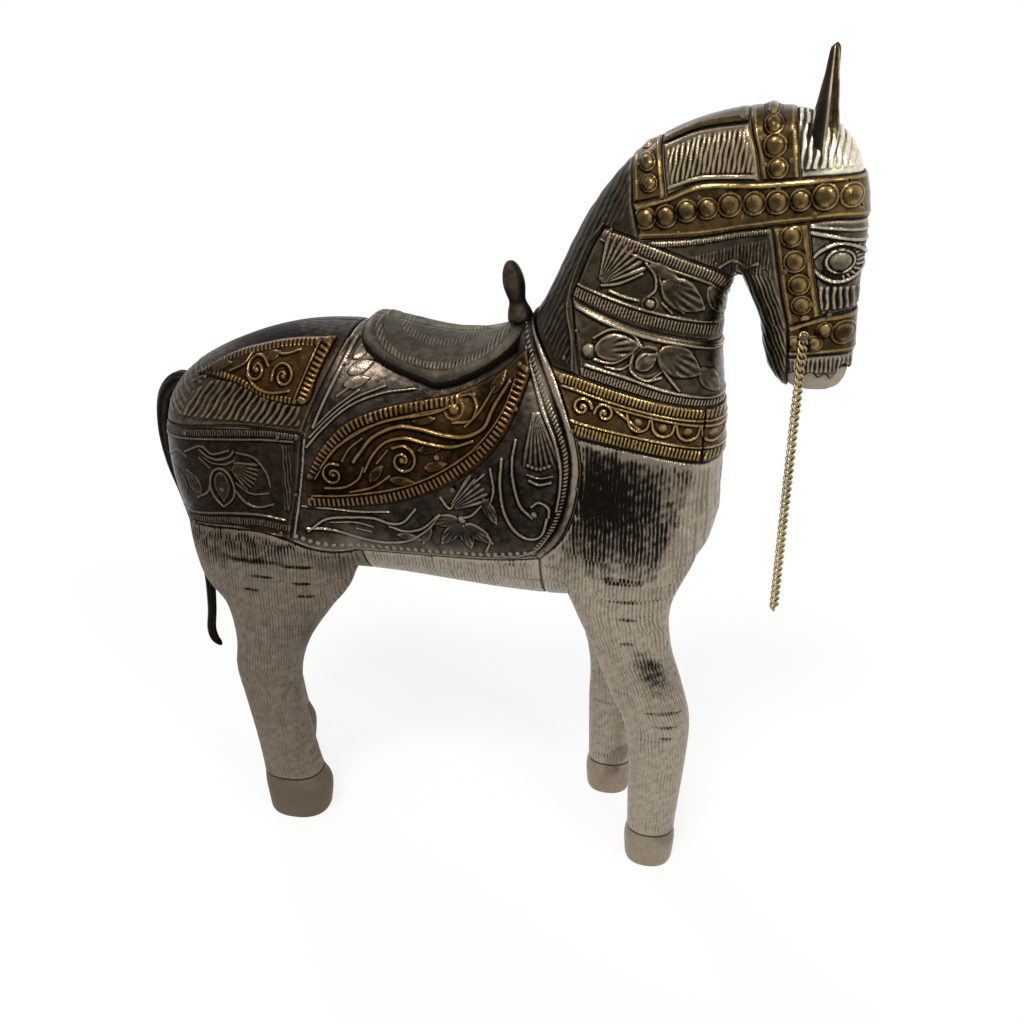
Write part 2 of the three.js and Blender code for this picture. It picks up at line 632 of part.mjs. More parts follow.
const RUMP = [...CLOTH_REAR, ...reversed(THIGH_TOP).slice(1), [-128, 206]];
const CLOTH = [
  ...CLOTH_FRONT, ...CLOTH_FRONT_LOW.slice(1), ...reversed(CLOTH_LOW).slice(1),
  ...reversed(CLOTH_REAR_LOW).slice(1), ...reversed(CLOTH_REAR).slice(1),
];

for (const [name, side] of sides) {
  const headPlates = { crown: CROWN, nape: NAPE, face: FACE, jaw: JAW };
  const neckPlates = { upper_neck: UPPER_NECK, lower_neck: LOWER_NECK };
  for (const [plate, outline] of Object.entries({ ...headPlates, ...neckPlates })) {
    add(`${plate}_plate_${name}`, sheet(outline, side), FINISH.plate);
  }
  add(`mane_plate_${name}`, sheet(MANE, side), FINISH.plate);
  add(`shoulder_plate_${name}`, sheet(SHOULDER, side), FINISH.plate);
  add(`belly_plate_${name}`, sheet(BELLY, side), FINISH.dullPlate);
  add(`haunch_plate_${name}`, sheet(HAUNCH, side), FINISH.dullPlate);
  add(`thigh_band_${name}`, sheet(THIGH, side), FINISH.plate);
  add(`rump_plate_${name}`, sheet(RUMP, side), FINISH.dullPlate);
  add(`saddle_cloth_${name}`, sheet(CLOTH, side).subtract(seatPrism(-SEAM)), FINISH.plate);
  add(`cheek_strap_${name}`, sheet(CHEEK, side, brassSheet), FINISH.brass);
  const overlay = { from: CLEAR, to: CLEAR + OVERLAY };
  const leaf = sheet([...LEAF_TOP, ...LEAF_LOW], side, overlay);
  add(`saddle_leaf_${name}`, leaf.subtract(seatPrism(-SEAM)), FINISH.brass);
  add(`crupper_${name}`, sheet([...CRUPPER_TOP, ...CRUPPER_LOW], side, overlay), FINISH.brass);
}

// The saddle's sheet covers the top and the edge of the carved saddle
function saddleSeat(side) {
  const cover = carved(TRUNK, PAD_RISE + SHEET).intersect(sidePrism(SEAT, side, 0));
  const pad = carved(TRUNK, PAD_RISE).intersect(seatPrism(SHEET));
  return cutBores(cover.subtract(pad).subtract(body(-SHEET)));
}
for (const [name, side] of sides) {
  add(`saddle_seat_${name}`, saddleSeat(side), FINISH.dullPlate);
}

// The breast band's two ends meet on the right of the chest, where the left one laps round the front
function breastBand(side) {
  const whole = prism(inset(BREAST, SEAM / 2), -OUTSIDE, OUTSIDE);
  const band = body(BRASS_RISE).subtract(body(-SHEET)).intersect(whole);
  const start = side < 0 ? BREAST_LAP - SEAM : BREAST_LAP;
  const front = block(new THREE.Vector3(start, -OUTSIDE, 0), new THREE.Vector3().setScalar(OUTSIDE));
  const edge = side * (SEAM / 2);
  const low = Math.min(edge, side * OUTSIDE);
  const high = Math.max(edge, side * OUTSIDE);
  const half = block(new THREE.Vector3(-OUTSIDE, low, 0), new THREE.Vector3(OUTSIDE, high, OUTSIDE));
  return side < 0 ? band.intersect(half).subtract(front) : band.intersect(half.add(front));
}
for (const [name, side] of sides) {
  add(`breast_band_${name}`, breastBand(side), FINISH.brass);
}

// Straps that pass over the head or the crest from one side to the other
const STRAPS = {
  brow_band: [...BROW_TOP, ...BROW_TOP_FRONT, ...reversed(BROW_LOW_FRONT), ...reversed(BROW_LOW)],
  nape_strap: [...NAPE_REAR, ...reversed(NAPE_FRONT)],
  mane_strip: [NAPE_FRONT[0], ...CREST_LOW, POLL_REAR[0]],
  poll_strap: [...POLL_REAR, ...reversed(POLL_FRONT)],
  nose_band: [CHEEK_REAR[2], ...NOSE_TOP, ...reversed(NOSE_LOW)],
};
for (const [name, outline] of Object.entries(STRAPS)) {
  add(name, sheet(outline, 0, brassSheet), FINISH.brass);
}
add("muzzle_plate", sheet([...NOSE_LOW, ...reversed(MUZZLE_LOW)], 0), FINISH.plate);

// Hoof caps, cups of sheet with closed soles
function hoofCap({ front, side }) {
  const room = legRoom(front, side, (front ? HOOF_FORE : HOOF_HIND) - SEAM);
  const wood = body(-SHEET).intersect(aboveFloor(SHEET));
  return body(0).intersect(room).subtract(wood);
}
for (const leg of LEGS) {
  add(`hoof_cap_${leg.front ? "fore" : "hind"}_${leg.name}`, hoofCap(leg), FINISH.dullPlate);
}

earFrames.forEach((frame, i) => add(`ear_${sides[i][0]}`, ear(frame), FINISH.bronze));
add("tail", tail(), FINISH.bronze);
add("saddle_pommel", pommel(), FINISH.bronze);
add("bit_nail", nail(), FINISH.brass);
hangChain();

export default horse;
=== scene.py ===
import math
import bmesh
import bpy
import numpy as np
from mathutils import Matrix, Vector


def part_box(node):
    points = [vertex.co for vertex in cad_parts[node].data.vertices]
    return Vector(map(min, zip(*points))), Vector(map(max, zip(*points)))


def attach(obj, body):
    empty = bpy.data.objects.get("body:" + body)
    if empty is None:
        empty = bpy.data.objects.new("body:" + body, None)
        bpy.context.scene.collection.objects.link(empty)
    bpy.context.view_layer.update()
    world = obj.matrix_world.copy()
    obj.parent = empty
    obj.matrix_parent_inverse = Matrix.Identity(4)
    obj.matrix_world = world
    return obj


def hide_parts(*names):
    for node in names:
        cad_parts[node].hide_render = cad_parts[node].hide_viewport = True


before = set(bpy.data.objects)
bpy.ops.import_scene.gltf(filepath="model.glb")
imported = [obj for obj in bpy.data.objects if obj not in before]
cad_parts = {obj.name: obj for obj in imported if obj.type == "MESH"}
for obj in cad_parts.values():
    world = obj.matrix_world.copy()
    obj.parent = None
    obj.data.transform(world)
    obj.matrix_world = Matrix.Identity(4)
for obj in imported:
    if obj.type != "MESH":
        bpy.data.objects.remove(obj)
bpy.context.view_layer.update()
MM = 0.001

# The camera stands a little to the right of the horse's flank and looks down on it,
# as the photograph does. It is level, with no roll or shift.
AZIMUTH, ELEVATION = math.radians(12), math.radians(24)
STAND_POINT = (87.09, -350.31, 285.4)
SENSOR = 36
PICTURE_WIDTH, PICTURE_AWAY = 1024, 1102    # in pixels: its width, its distance from the eye
camera = bpy.data.objects.new("camera", bpy.data.cameras.new("camera"))
bpy.context.scene.collection.objects.link(camera)
camera.data.sensor_width = SENSOR
camera.data.lens = SENSOR * PICTURE_AWAY / PICTURE_WIDTH
camera.data.clip_start, camera.data.clip_end = 0.01, 20
camera.location = Vector(STAND_POINT) * MM
camera.rotation_mode = "QUATERNION"
camera.rotation_quaternion = Vector((
    -math.sin(AZIMUTH) * math.cos(ELEVATION), math.cos(AZIMUTH) * math.cos(ELEVATION), -math.sin(ELEVATION),
)).to_track_quat("-Z", "Y")
bpy.context.scene.camera = camera

# The horse is carved from one block, with four legs let into it. Each section of the carving is its
# top or front point, its bottom or back point and half its width, in millimetres. The bare wood
# shows only at the chin. The left legs stand a step behind the right ones, and are a little slimmer.
TORSO = [
    (-111.5, 157, -110.6, 138, 9), (-108, 168, -106.8, 122, 18), (-98, 177.5, -100, 108, 25),
    (-84, 184.5, -85, 103, 28.5), (-67, 190, -66, 102, 29.5), (-50, 192.5, -46, 102.2, 29),
    (-33, 192, -26, 101.8, 28.5), (-14, 188.5, -6, 100.5, 28.5), (2, 188, 14, 99.3, 29),
    (20, 192, 34, 99.1, 29), (40, 192, 54, 102, 28.5), (60, 186, 69, 108.6, 27), (76, 174, 80.4, 121, 21),
    (82.5, 160, 84.8, 136, 11.4),
]
NECK = [
    (0, 178, 78, 122, 26), (14, 191.5, 84, 140, 26), (22, 200.5, 84.4, 158, 25), (27.5, 211, 83.4, 176, 23),
    (33.5, 224, 81.3, 196, 20.5), (41, 237, 82.5, 210, 18), (52, 249.5, 88, 220, 16.5),
    (67, 258, 97, 231, 15.5), (84, 262.5, 105, 242, 14.5), (98, 262.8, 110, 250, 12),
]
HEAD = [
    (80, 259, 70, 230, 14), (97, 262.8, 79, 220, 15.5), (111, 257.4, 84.5, 215.5, 16.5),
    (118.8, 245, 87, 211.5, 16.8), (121.2, 230, 89.5, 206.5, 16), (121, 217, 92.5, 200, 14.8),
    (120.9, 205, 94, 192.5, 13.6), (121.5, 194, 96.6, 185.3, 12.4), (121.4, 185, 101.2, 180.3, 10.8),
    (118.8, 179.6, 106, 178.2, 7.2),
]
FORE_LEG = [
    (73.5, 142, 40, 134, 7), (79.4, 128, 34, 116, 10.8), (71.8, 106.5, 39, 102, 11.4),
    (72.4, 90, 45.5, 88, 10.5), (77, 75, 52, 71, 9.6), (80.6, 61, 58, 57, 9.2), (80.3, 45, 60, 42, 8.9),
    (79, 28, 60.3, 27, 8.5), (78, 14, 60.6, 14, 8.3), (78.4, 9, 59.8, 9, 8.9), (77.6, -2, 60.6, -2, 8.7),
]
HIND_LEG = [
    (-44, 146, -96, 150, 7), (-37, 122, -101.4, 126, 11.2), (-41.5, 103, -98.6, 103, 11.9),
    (-50.5, 90.5, -90.4, 91, 11.3), (-60, 76, -87.8, 76.5, 10.4), (-64.5, 62, -89, 64, 9.7),
    (-64.6, 47, -86.8, 51, 9.3), (-62.2, 32, -84, 34, 9.1), (-59.2, 18, -82.2, 19, 9.3),
    (-56, 11, -82, 12, 10.4), (-57.5, -2, -80.5, -2, 9.7),
]
LEFT_FORE_LEG = [
    *FORE_LEG[:2], (72, 106.5, 42, 102, 11.4), (72.4, 90, 50.5, 88, 10.5), (77, 75, 57.5, 71, 9.6),
    (80.6, 61, 60, 57, 9.2), *FORE_LEG[6:],
]
LEFT_HIND_LEG = [
    *HIND_LEG[:7], (-62.8, 32, -84, 34, 9.1), (-61, 18, -82, 19, 9.3), (-58.2, 11, -81.8, 12, 9.8),
    (-59.4, -2, -80.2, -2, 9.2),
]
STANCE = 19.5                             # from the middle of the horse to the middle of a leg
STEP, STEP_TOP, STEP_FULL = 20, 112, 72   # how far back the left legs stand, where that begins and is full
LEG_JOINT = 97                            # the height where the legs are let into the trunk
CHASED = 0.36      # facet of the sheets that carry fine work
PLAIN = 0.6        # facet of the other sheets
BACKING = 1.4                             # facet of the sheets' backs and of the wood
SOFTENING = 1.7                           # how far the joins between the limbs are rounded
OUTSIDE = 400                             # farther out than any point of the horse


def ease(low, high, value):
    """A smooth climb from 0 to 1 between two values."""
    t = np.clip((value - low) / (high - low), 0, 1)
    return t * t * (3 - 2 * t)


def spline(points, steps=6, first=0, last=None):
    """Points along a smooth curve through the given ones, from one of them to another."""
    points = np.asarray(points, float)
    last = len(points) - 1 if last is None else last
    t = np.linspace(first, last, (last - first) * steps + 1)
    i = np.minimum(t.astype(int), len(points) - 2)
    f = (t - i)[:, None]
    ends = np.vstack([2 * points[0] - points[1], points, 2 * points[-1] - points[-2]])
    a, b, c, d = ends[i], ends[i + 1], ends[i + 2], ends[i + 3]
    return 0.5 * (2 * b + (c - a) * f + (2 * a - 5 * b + 4 * c - d) * f**2 + (3 * b - a - 3 * c + d) * f**3)


def step_back(z):
    """How far the left legs stand behind the right ones at a height."""
    return STEP * ease(0, STEP_TOP - STEP_FULL, STEP_TOP - z)


def ring_faces(rings, sides):
    """The faces of a closed tube of rings, with a flat face at each end."""
    faces = []
    for i in range(rings - 1):
        for k in range(sides):
            here, onward = i * sides + k, i * sides + (k + 1) % sides
            faces.append((here, here + sides, onward + sides, onward))
    faces.append(tuple(range(sides)))
    faces.append(tuple(reversed(range((rings - 1) * sides, rings * sides))))
    return faces


def limb(sections, steps, sides, square=2.3, side=0, stepped=False):
    """Points and faces of one closed limb through its sections."""
    s = np.asarray(sections, float)
    top = spline(s[:, [0, 4, 1]], steps)
    low = spline(s[:, [2, 4, 3]], steps)
    turn = 2 * np.pi * (np.arange(sides) + 0.5) / sides
    c, w = (np.sign(f) * np.abs(f) ** (2 / square) for f in (np.cos(turn), np.sin(turn)))
    x = (top[:, :1] + low[:, :1]) / 2 + (top[:, :1] - low[:, :1]) / 2 * c
    z = (top[:, 2:] + low[:, 2:]) / 2 + (top[:, 2:] - low[:, 2:]) / 2 * c
    y = side * STANCE + top[:, 1:2] * w
    if stepped:
        x = x - step_back(z)
    return np.stack([x, y, z], -1).reshape(-1, 3), ring_faces(len(top), sides)


def mesh_object(name, points, tris):
    """An object, and its mesh filled from arrays of points and triangles."""
    tris = np.asarray(tris, np.int32)
    mesh = bpy.data.meshes.new(name)
    mesh.vertices.add(len(points))
    mesh.vertices.foreach_set("co", np.asarray(points, np.float32).ravel())
    mesh.loops.add(tris.size)
    mesh.loops.foreach_set("vertex_index", tris.ravel())
    mesh.polygons.add(len(tris))
    mesh.polygons.foreach_set("loop_start", np.arange(0, tris.size, 3, dtype=np.int32))
    mesh.update(calc_edges=True)
    made = bpy.data.objects.new(name, mesh)
    bpy.context.scene.collection.objects.link(made)
    return made


def set_points(mesh, points):
    mesh.vertices.foreach_set("co", np.asarray(points, np.float32).ravel())
    mesh.update()


def points_of(mesh, normals=False):
    """The points of a mesh, or its outward directions at them."""
    co = np.zeros(len(mesh.vertices) * 3, np.float32)
    if normals:
        mesh.vertex_normals.foreach_get("vector", co)
    else:
        mesh.vertices.foreach_get("co", co)
    return co.reshape(-1, 3).astype(float)


def eased(values, edges, rounds):
    """Values at the points of a net of edges, each moved half way to its neighbours, over and over."""
    a, b = edges
    share = np.maximum(np.bincount(a, minlength=len(values)) + np.bincount(b, minlength=len(values)), 1)
    for _ in range(rounds):
        values = 0.5 * values + 0.5 / share * (
            np.bincount(a, values[b], len(values)) + np.bincount(b, values[a], len(values)))
    return values


def surface(limbs, facet):
    """The joined skin of several limbs in even facets: points, outward normals and triangles."""
    bm = bmesh.new()
    for points, faces in limbs:
        made = [bm.verts.new(p) for p in points.tolist()]
        for face in faces:
            bm.faces.new([made[i] for i in face])
    bmesh.ops.recalc_face_normals(bm, faces=bm.faces)
    mesh = bpy.data.meshes.new("rough carving")
    bm.to_mesh(mesh)
    bm.free()
    rough = bpy.data.objects.new("rough carving", mesh)
    bpy.context.scene.collection.objects.link(rough)
    remesh = rough.modifiers.new("remesh", "REMESH")
    remesh.mode, remesh.voxel_size = "VOXEL", facet
    made = bpy.data.meshes.new_from_object(rough.evaluated_get(bpy.context.evaluated_depsgraph_get()))
    bpy.data.objects.remove(rough)
    bpy.data.meshes.remove(mesh)
    co = points_of(made)
    edges = np.zeros(len(made.edges) * 2, np.int32)
    made.edges.foreach_get("vertices", edges)
    rounds = max(2, round((SOFTENING / facet) ** 2))
    co = np.stack([eased(co[:, k], edges.reshape(-1, 2).T, rounds) for k in range(3)], -1)
    set_points(made, co)
    normals = points_of(made, normals=True)
    quads = np.zeros(len(made.loops), np.int32)
    made.loops.foreach_get("vertex_index", quads)
    quads = quads.reshape(-1, 4)
    bpy.data.meshes.remove(made)
    return co, normals, np.vstack([quads[:, [0, 1, 2]], quads[:, [0, 2, 3]]])


trunk = limb(TORSO, 6, 96)
limbs = [
    trunk, limb(NECK, 6, 72), limb(HEAD, 6, 72, square=2.6), limb(FORE_LEG, 6, 48, side=-1),
    limb(LEFT_FORE_LEG, 6, 48, side=1, stepped=True), limb(HIND_LEG, 6, 48, side=-1),
    limb(LEFT_HIND_LEG, 6, 48, side=1, stepped=True),
]
SKINS = {facet: surface(limbs, facet) for facet in (CHASED, PLAIN, BACKING)}


def main_island(points, tris):
    """The triangles of the largest connected piece."""
    label = np.arange(points)
    a, b = tris[:, [0, 1, 2]].ravel(), tris[:, [1, 2, 0]].ravel()
    while True:
        low, high = np.minimum(label[a], label[b]), np.maximum(label[a], label[b])
        if (low == high).all():
            break
        np.minimum.at(label, high, low)
        while (label != label[label]).any():
            label = label[label]
    owner = label[tris[:, 0]]
    return tris[owner == np.bincount(owner).argmax()]


def cut_out(skin, field, low, high):
    """The part of a skin where a field lies below zero, cut along its zero line, with the depth inside it."""
    co, normals, tris = skin
    near = np.flatnonzero(((co > low) & (co < high)).all(1))
    depth = np.ones(len(co))
    depth[near] = field(co[near])
    inside = depth < 0
    tris = tris[inside[tris].any(1)]
    count = inside[tris].sum(1)

    def odd_first(rows, odd):
        return np.take_along_axis(rows, (odd.argmax(1)[:, None] + [0, 1, 2]) % 3, 1)

    one, two = tris[count == 1], tris[count == 2]
    one, two = odd_first(one, inside[one]), odd_first(two, ~inside[two])
    pairs = np.sort(np.vstack([one[:, [0, 1]], one[:, [0, 2]], two[:, [0, 1]], two[:, [0, 2]]]), 1)
    pairs, where = np.unique(pairs, axis=0, return_inverse=True)
    a, b = pairs.T
    share = (depth[a] / (depth[a] - depth[b]))[:, None]
    one_a, one_b, two_a, two_b = np.split(where.ravel() + len(co), np.cumsum([len(one), len(one), len(two)]))
    tris = np.vstack([
        tris[count == 3], np.stack([one[:, 0], one_a, one_b], -1),
        np.stack([two_a, two[:, 1], two[:, 2]], -1), np.stack([two_a, two[:, 2], two_b], -1),
    ])
    points = np.vstack([co, co[a] + (co[b] - co[a]) * share])
    outward = np.vstack([normals, normals[a] + (normals[b] - normals[a]) * share])
    depth = np.concatenate([-depth, np.zeros(len(a))])
    tris = main_island(len(points), tris)
    used, tris = np.unique(tris, return_inverse=True)
    outward = outward[used] / np.linalg.norm(outward[used], axis=1)[:, None]
    return points[used], outward, tris.reshape(-1, 3), depth[used]


def rims(tris):
    """The open edges of a cut, as loops of point numbers in the direction of its triangles."""
    a, b = tris[:, [0, 1, 2]].ravel().astype(np.int64), tris[:, [1, 2, 0]].ravel().astype(np.int64)
    size = int(tris.max()) + 1
    lone = ~np.isin(a * size + b, b * size + a)
    onward = dict(zip(a[lone].tolist(), b[lone].tolist()))
    loops = []
    while onward:
        start, at = onward.popitem()
        loop = [start]
        while at != start:
            loop.append(at)
            at = onward.pop(at)
        loops.append(np.array(loop))
    return loops


def plugged(points, tris):
    """A cut closed with a flat fan over each of its open edges."""
    for loop in rims(tris):
        middle = len(points)
        points = np.vstack([points, points[loop].mean(0)])
        tris = np.vstack([tris, np.stack([np.roll(loop, -1), loop, np.full(len(loop), middle)], -1)])
    return points, tris


def finish(piece, material, stands_for, sharp=55, body="horse"):
    """Sets a piece to metres at the origin, and gives it its material, body and CAD nodes."""
    mesh = piece.data
    set_points(mesh, points_of(mesh) * MM)
    mesh.polygons.foreach_set("use_smooth", np.ones(len(mesh.polygons), bool))
    mesh.set_sharp_from_angle(angle=math.radians(sharp))
    mesh.update()
    mesh.materials.clear()
    mesh.materials.append(material)
    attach(piece, body)
    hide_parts(*stands_for)


class Nodes:
    """A node tree that is filled call by call."""

    def __init__(self, tree):
        self.tree = tree
        tree.nodes.clear()

    def add(self, kind, sizes=None, **sockets):
        node = self.tree.nodes.new(kind)
        for key, value in (sizes or {}).items():
            setattr(node, key, value)
        for key, value in sockets.items():
            self.set(node, key.replace("_", " "), value)
        return node

    def set(self, node, name, value):
        at = int(name[1:]) if name[0] == "i" and name[1:].isdigit() else name
        socket = node.inputs[at]
        if isinstance(value, bpy.types.NodeSocket):
            self.tree.links.new(value, socket)
        else:
            socket.default_value = value

    def maths(self, operation, *values):
        node = self.add("ShaderNodeMath", {"operation": operation})
        for i, value in enumerate(values):
            self.set(node, f"i{i}", value)
        return node.outputs[0]

    def times(self, first, second):
        return self.maths("MULTIPLY", first, second)

    def plus(self, first, second):
        return self.maths("ADD", first, second)

    def minus(self, first, second):
        return self.maths("SUBTRACT", first, second)

    def wander(self, noise, much):
        """A noise laid about zero, and made this strong."""
        return self.times(self.minus(noise, 0.5), much)

    def painted(self, name, output="Fac"):
        """A map that is stored at the points of a piece."""
        return self.add("ShaderNodeAttribute", {"attribute_name": name}).outputs[output]

    def place(self):
        return self.add("ShaderNodeTexCoord").outputs["Object"]

    def span(self, value, low, high, to_low=0.0, to_high=1.0):
        """A smooth climb from one number to another between two values."""
        node = self.add("ShaderNodeMapRange", {"interpolation_type": "SMOOTHSTEP"})
        for name, given in zip(("Value", "From Min", "From Max", "To Min", "To Max"),
                               (value, low, high, to_low, to_high)):
            self.set(node, name, given)
        return node.outputs["Result"]

    def mix(self, share, first, second):
        node = self.add("ShaderNodeMix", {"data_type": "RGBA"})
        self.set(node, "i0", share)
        self.set(node, "i6", first)
        self.set(node, "i7", second)
        return node.outputs[2]

    def noise(self, scale, detail=3.0, rough=0.55, vector=None):
        node = self.add("ShaderNodeTexNoise", Scale=scale, Detail=detail, Roughness=rough)
        self.set(node, "Vector", vector or self.place())
        return node.outputs["Fac"]


def new_material(name):
    made = bpy.data.materials.new(name)
    made.use_nodes = True
    nodes = Nodes(made.node_tree)
    shader = nodes.add("ShaderNodeBsdfPrincipled")
    out = nodes.add("ShaderNodeOutputMaterial")
    nodes.set(out, "Surface", shader.outputs[0])
    return made, nodes, shader


wood, nodes, shader = new_material("carved wood")
grain = nodes.add("ShaderNodeMapping", Scale=(240.0, 900.0, 900.0))
nodes.set(grain, "Vector", nodes.place())
fibre = nodes.noise(1.0, 5.0, 0.6, grain.outputs[0])
nodes.set(shader, "Base Color", nodes.mix(fibre, (0.25, 0.19, 0.135, 1), (0.56, 0.48, 0.38, 1)))
shader.inputs["Roughness"].default_value = 0.8
bump = nodes.add("ShaderNodeBump", Strength=0.4, Distance=0.0003, Height=fibre)
nodes.set(shader, "Normal", bump.outputs[0])

SIDES = (("right", -1), ("left", 1))
WOOD_DEPTH = 1.1    # how far the wood lies under the outside of the sheets
LEG_GAP = 0.3       # between the trunk and the top of each leg
co, normals, tris = SKINS[BACKING]
in_wood = (co - normals * WOOD_DEPTH, normals, tris)
points, _, tris, _ = cut_out(in_wood, lambda p: LEG_JOINT + LEG_GAP - p[:, 2], -OUTSIDE, OUTSIDE)
core = mesh_object("carved_core", *plugged(points, tris))
finish(core, wood, ["wooden_core"])
for end, forward in (("fore", 1), ("hind", -1)):
    for name, side in SIDES:
        def room(p):
            above_sole = WOOD_DEPTH - p[:, 2]
            return np.max([p[:, 2] - LEG_JOINT, -forward * p[:, 0], -side * p[:, 1], above_sole], 0)
        points, _, tris, _ = cut_out(in_wood, room, -OUTSIDE, OUTSIDE)
        leg = mesh_object(f"carved_{end}_leg_{name}", *plugged(points, tris))
        finish(leg, wood, [f"wooden_leg_{end}_{name}"])

# The sheets of white metal over the carving. Each is beaten thin, chased, cut along its seams, turned
# down a little at its edges and nailed to the wood. Low places have gone dark, high ones are rubbed bright.
# Painted light and shade lie over that: forms are lighter where they face up and forward, with painted
# highlights and shade in spots.
GAP = 0.3          # between the edges of two sheets
THICKNESS = 0.8
EDGE_REACH = 4     # how far in from its edges a sheet knows how near they are
RIMS_APART = 6     # the most that the rims of a sheet's face and back lie apart, by their middles


def new_group(name, inputs, outputs):
    """A shader group with named inputs and outputs, each of its kind."""
    group = bpy.data.node_groups.new(name, "ShaderNodeTree")
    for way, sockets in (("INPUT", inputs), ("OUTPUT", outputs)):
        for socket, kind in sockets.items():
            group.interface.new_socket(socket, in_out=way, socket_type=f"NodeSocket{kind}")
    nodes = Nodes(group)
    return group, nodes, nodes.add("NodeGroupInput").outputs


def old_metal_group():
    """Old metal: bright where its map of wearing and painted light is high, brown in its hollows and along
    its edges, paler low down.
    """
    levels = ("Pale Top", "Hollow", "Rise", "High", "Blotch", "Edge", "Rough Bright", "Rough Ground", "Grit",
              "Marks", "Mark Depth", "Pits", "Pale Front")
    group, nodes, given = new_group(
        "old metal",
        {**dict.fromkeys(("Bright", "Ground", "Dirt", "Pale"), "Color"), **dict.fromkeys(levels, "Float")},
        {"Color": "Color", "Roughness": "Float", "Metallic": "Float", "Normal": "Vector"})
    # This map carries painted light and shade as well as wearing: lighter on forms that face up and forward,
    # and in painted highlight spots.
    wear_and_light = nodes.painted("wear_and_light")
    edge = nodes.painted("edge")
    fine, broad, cloud = nodes.noise(1500.0, 3.0), nodes.noise(300.0, 4.0, 0.62), nodes.noise(50.0, 3.0)
    high = nodes.plus(wear_and_light, nodes.wander(fine, 0.12))
    high = nodes.plus(high, nodes.wander(cloud, 0.12))
    high = nodes.plus(high, nodes.times(given["Marks"], given["Mark Depth"]))
    polish = nodes.span(high, given["Rise"], given["High"])
    blend = nodes.plus(broad, nodes.wander(cloud, 0.9))
    stain = nodes.times(nodes.span(blend, 0.38, 0.66), given["Blotch"])
    shine = nodes.times(polish, nodes.minus(1.0, stain))
    ground = nodes.mix(nodes.times(nodes.span(blend, 0.66, 0.38), 0.09), given["Ground"], given["Bright"])
    ground = nodes.mix(nodes.times(stain, 0.75), ground, given["Dirt"])
    colour = nodes.mix(shine, ground, given["Bright"])
    place = nodes.add("ShaderNodeSeparateXYZ", Vector=nodes.place())
    drift = nodes.wander(nodes.noise(60.0, 3.0, 0.7), 0.024)
    ahead = nodes.maths("MAXIMUM", nodes.minus(place.outputs[0], given["Pale Front"]), 0.0)
    up = nodes.plus(place.outputs[2], nodes.minus(drift, nodes.times(ahead, 3.0)))
    low = nodes.span(nodes.minus(up, given["Pale Top"]), -0.007, 0.005, 1.0, 0.0)
    bare = nodes.painted("bare")
    bare = nodes.plus(bare, nodes.wander(broad, 0.7))
    low = nodes.times(low, nodes.span(bare, 0.4, 0.7, 1.0, 0.0))
    light = nodes.plus(0.64, nodes.times(polish, 0.36))
    light = nodes.times(light, nodes.minus(1.0, nodes.times(stain, 0.4)))
    light = nodes.plus(light, nodes.wander(fine, 0.7))
    spots = nodes.minus(1.0, nodes.times(nodes.span(nodes.noise(33.0, 2.0), 0.62, 0.70), 0.35))
    colour = nodes.mix(low, colour, nodes.mix(nodes.times(light, spots), given["Dirt"], given["Pale"]))
    hollow = nodes.span(high, given["Hollow"], nodes.times(given["Hollow"], 0.25), 1.0, 0.0)
    hollow = nodes.times(hollow, nodes.minus(1.0, nodes.times(low, 0.88)))
    rim = nodes.times(nodes.span(edge, 0.0, 0.36, 1.0, 0.0), given["Edge"])
    dirt = nodes.maths("MAXIMUM", nodes.maths("MAXIMUM", hollow, rim), given["Pits"])
    out = nodes.add("NodeGroupOutput")
    nodes.set(out, "Color", nodes.mix(dirt, colour, given["Dirt"]))
    gloss = nodes.times(shine, nodes.minus(given["Rough Bright"], given["Rough Ground"]))
    rough = nodes.plus(gloss, given["Rough Ground"])
    rough = nodes.plus(rough, nodes.wander(fine, 0.2))
    rough = nodes.plus(rough, nodes.times(low, 0.15))
    nodes.set(out, "Roughness", nodes.plus(rough, nodes.times(dirt, 0.25)))
    nodes.set(out, "Metallic", nodes.minus(1.0, nodes.times(low, 0.5)))
    grit = given["Grit"]
    relief = nodes.plus(nodes.times(fine, grit), nodes.times(broad, nodes.times(grit, 2.0)))
    relief = nodes.plus(relief, given["Marks"])
    bump = nodes.add("ShaderNodeBump", Strength=0.9, Distance=0.0004, Height=relief)
    nodes.set(out, "Normal", bump.outputs[0])
    return group


OLD_METAL = old_metal_group()


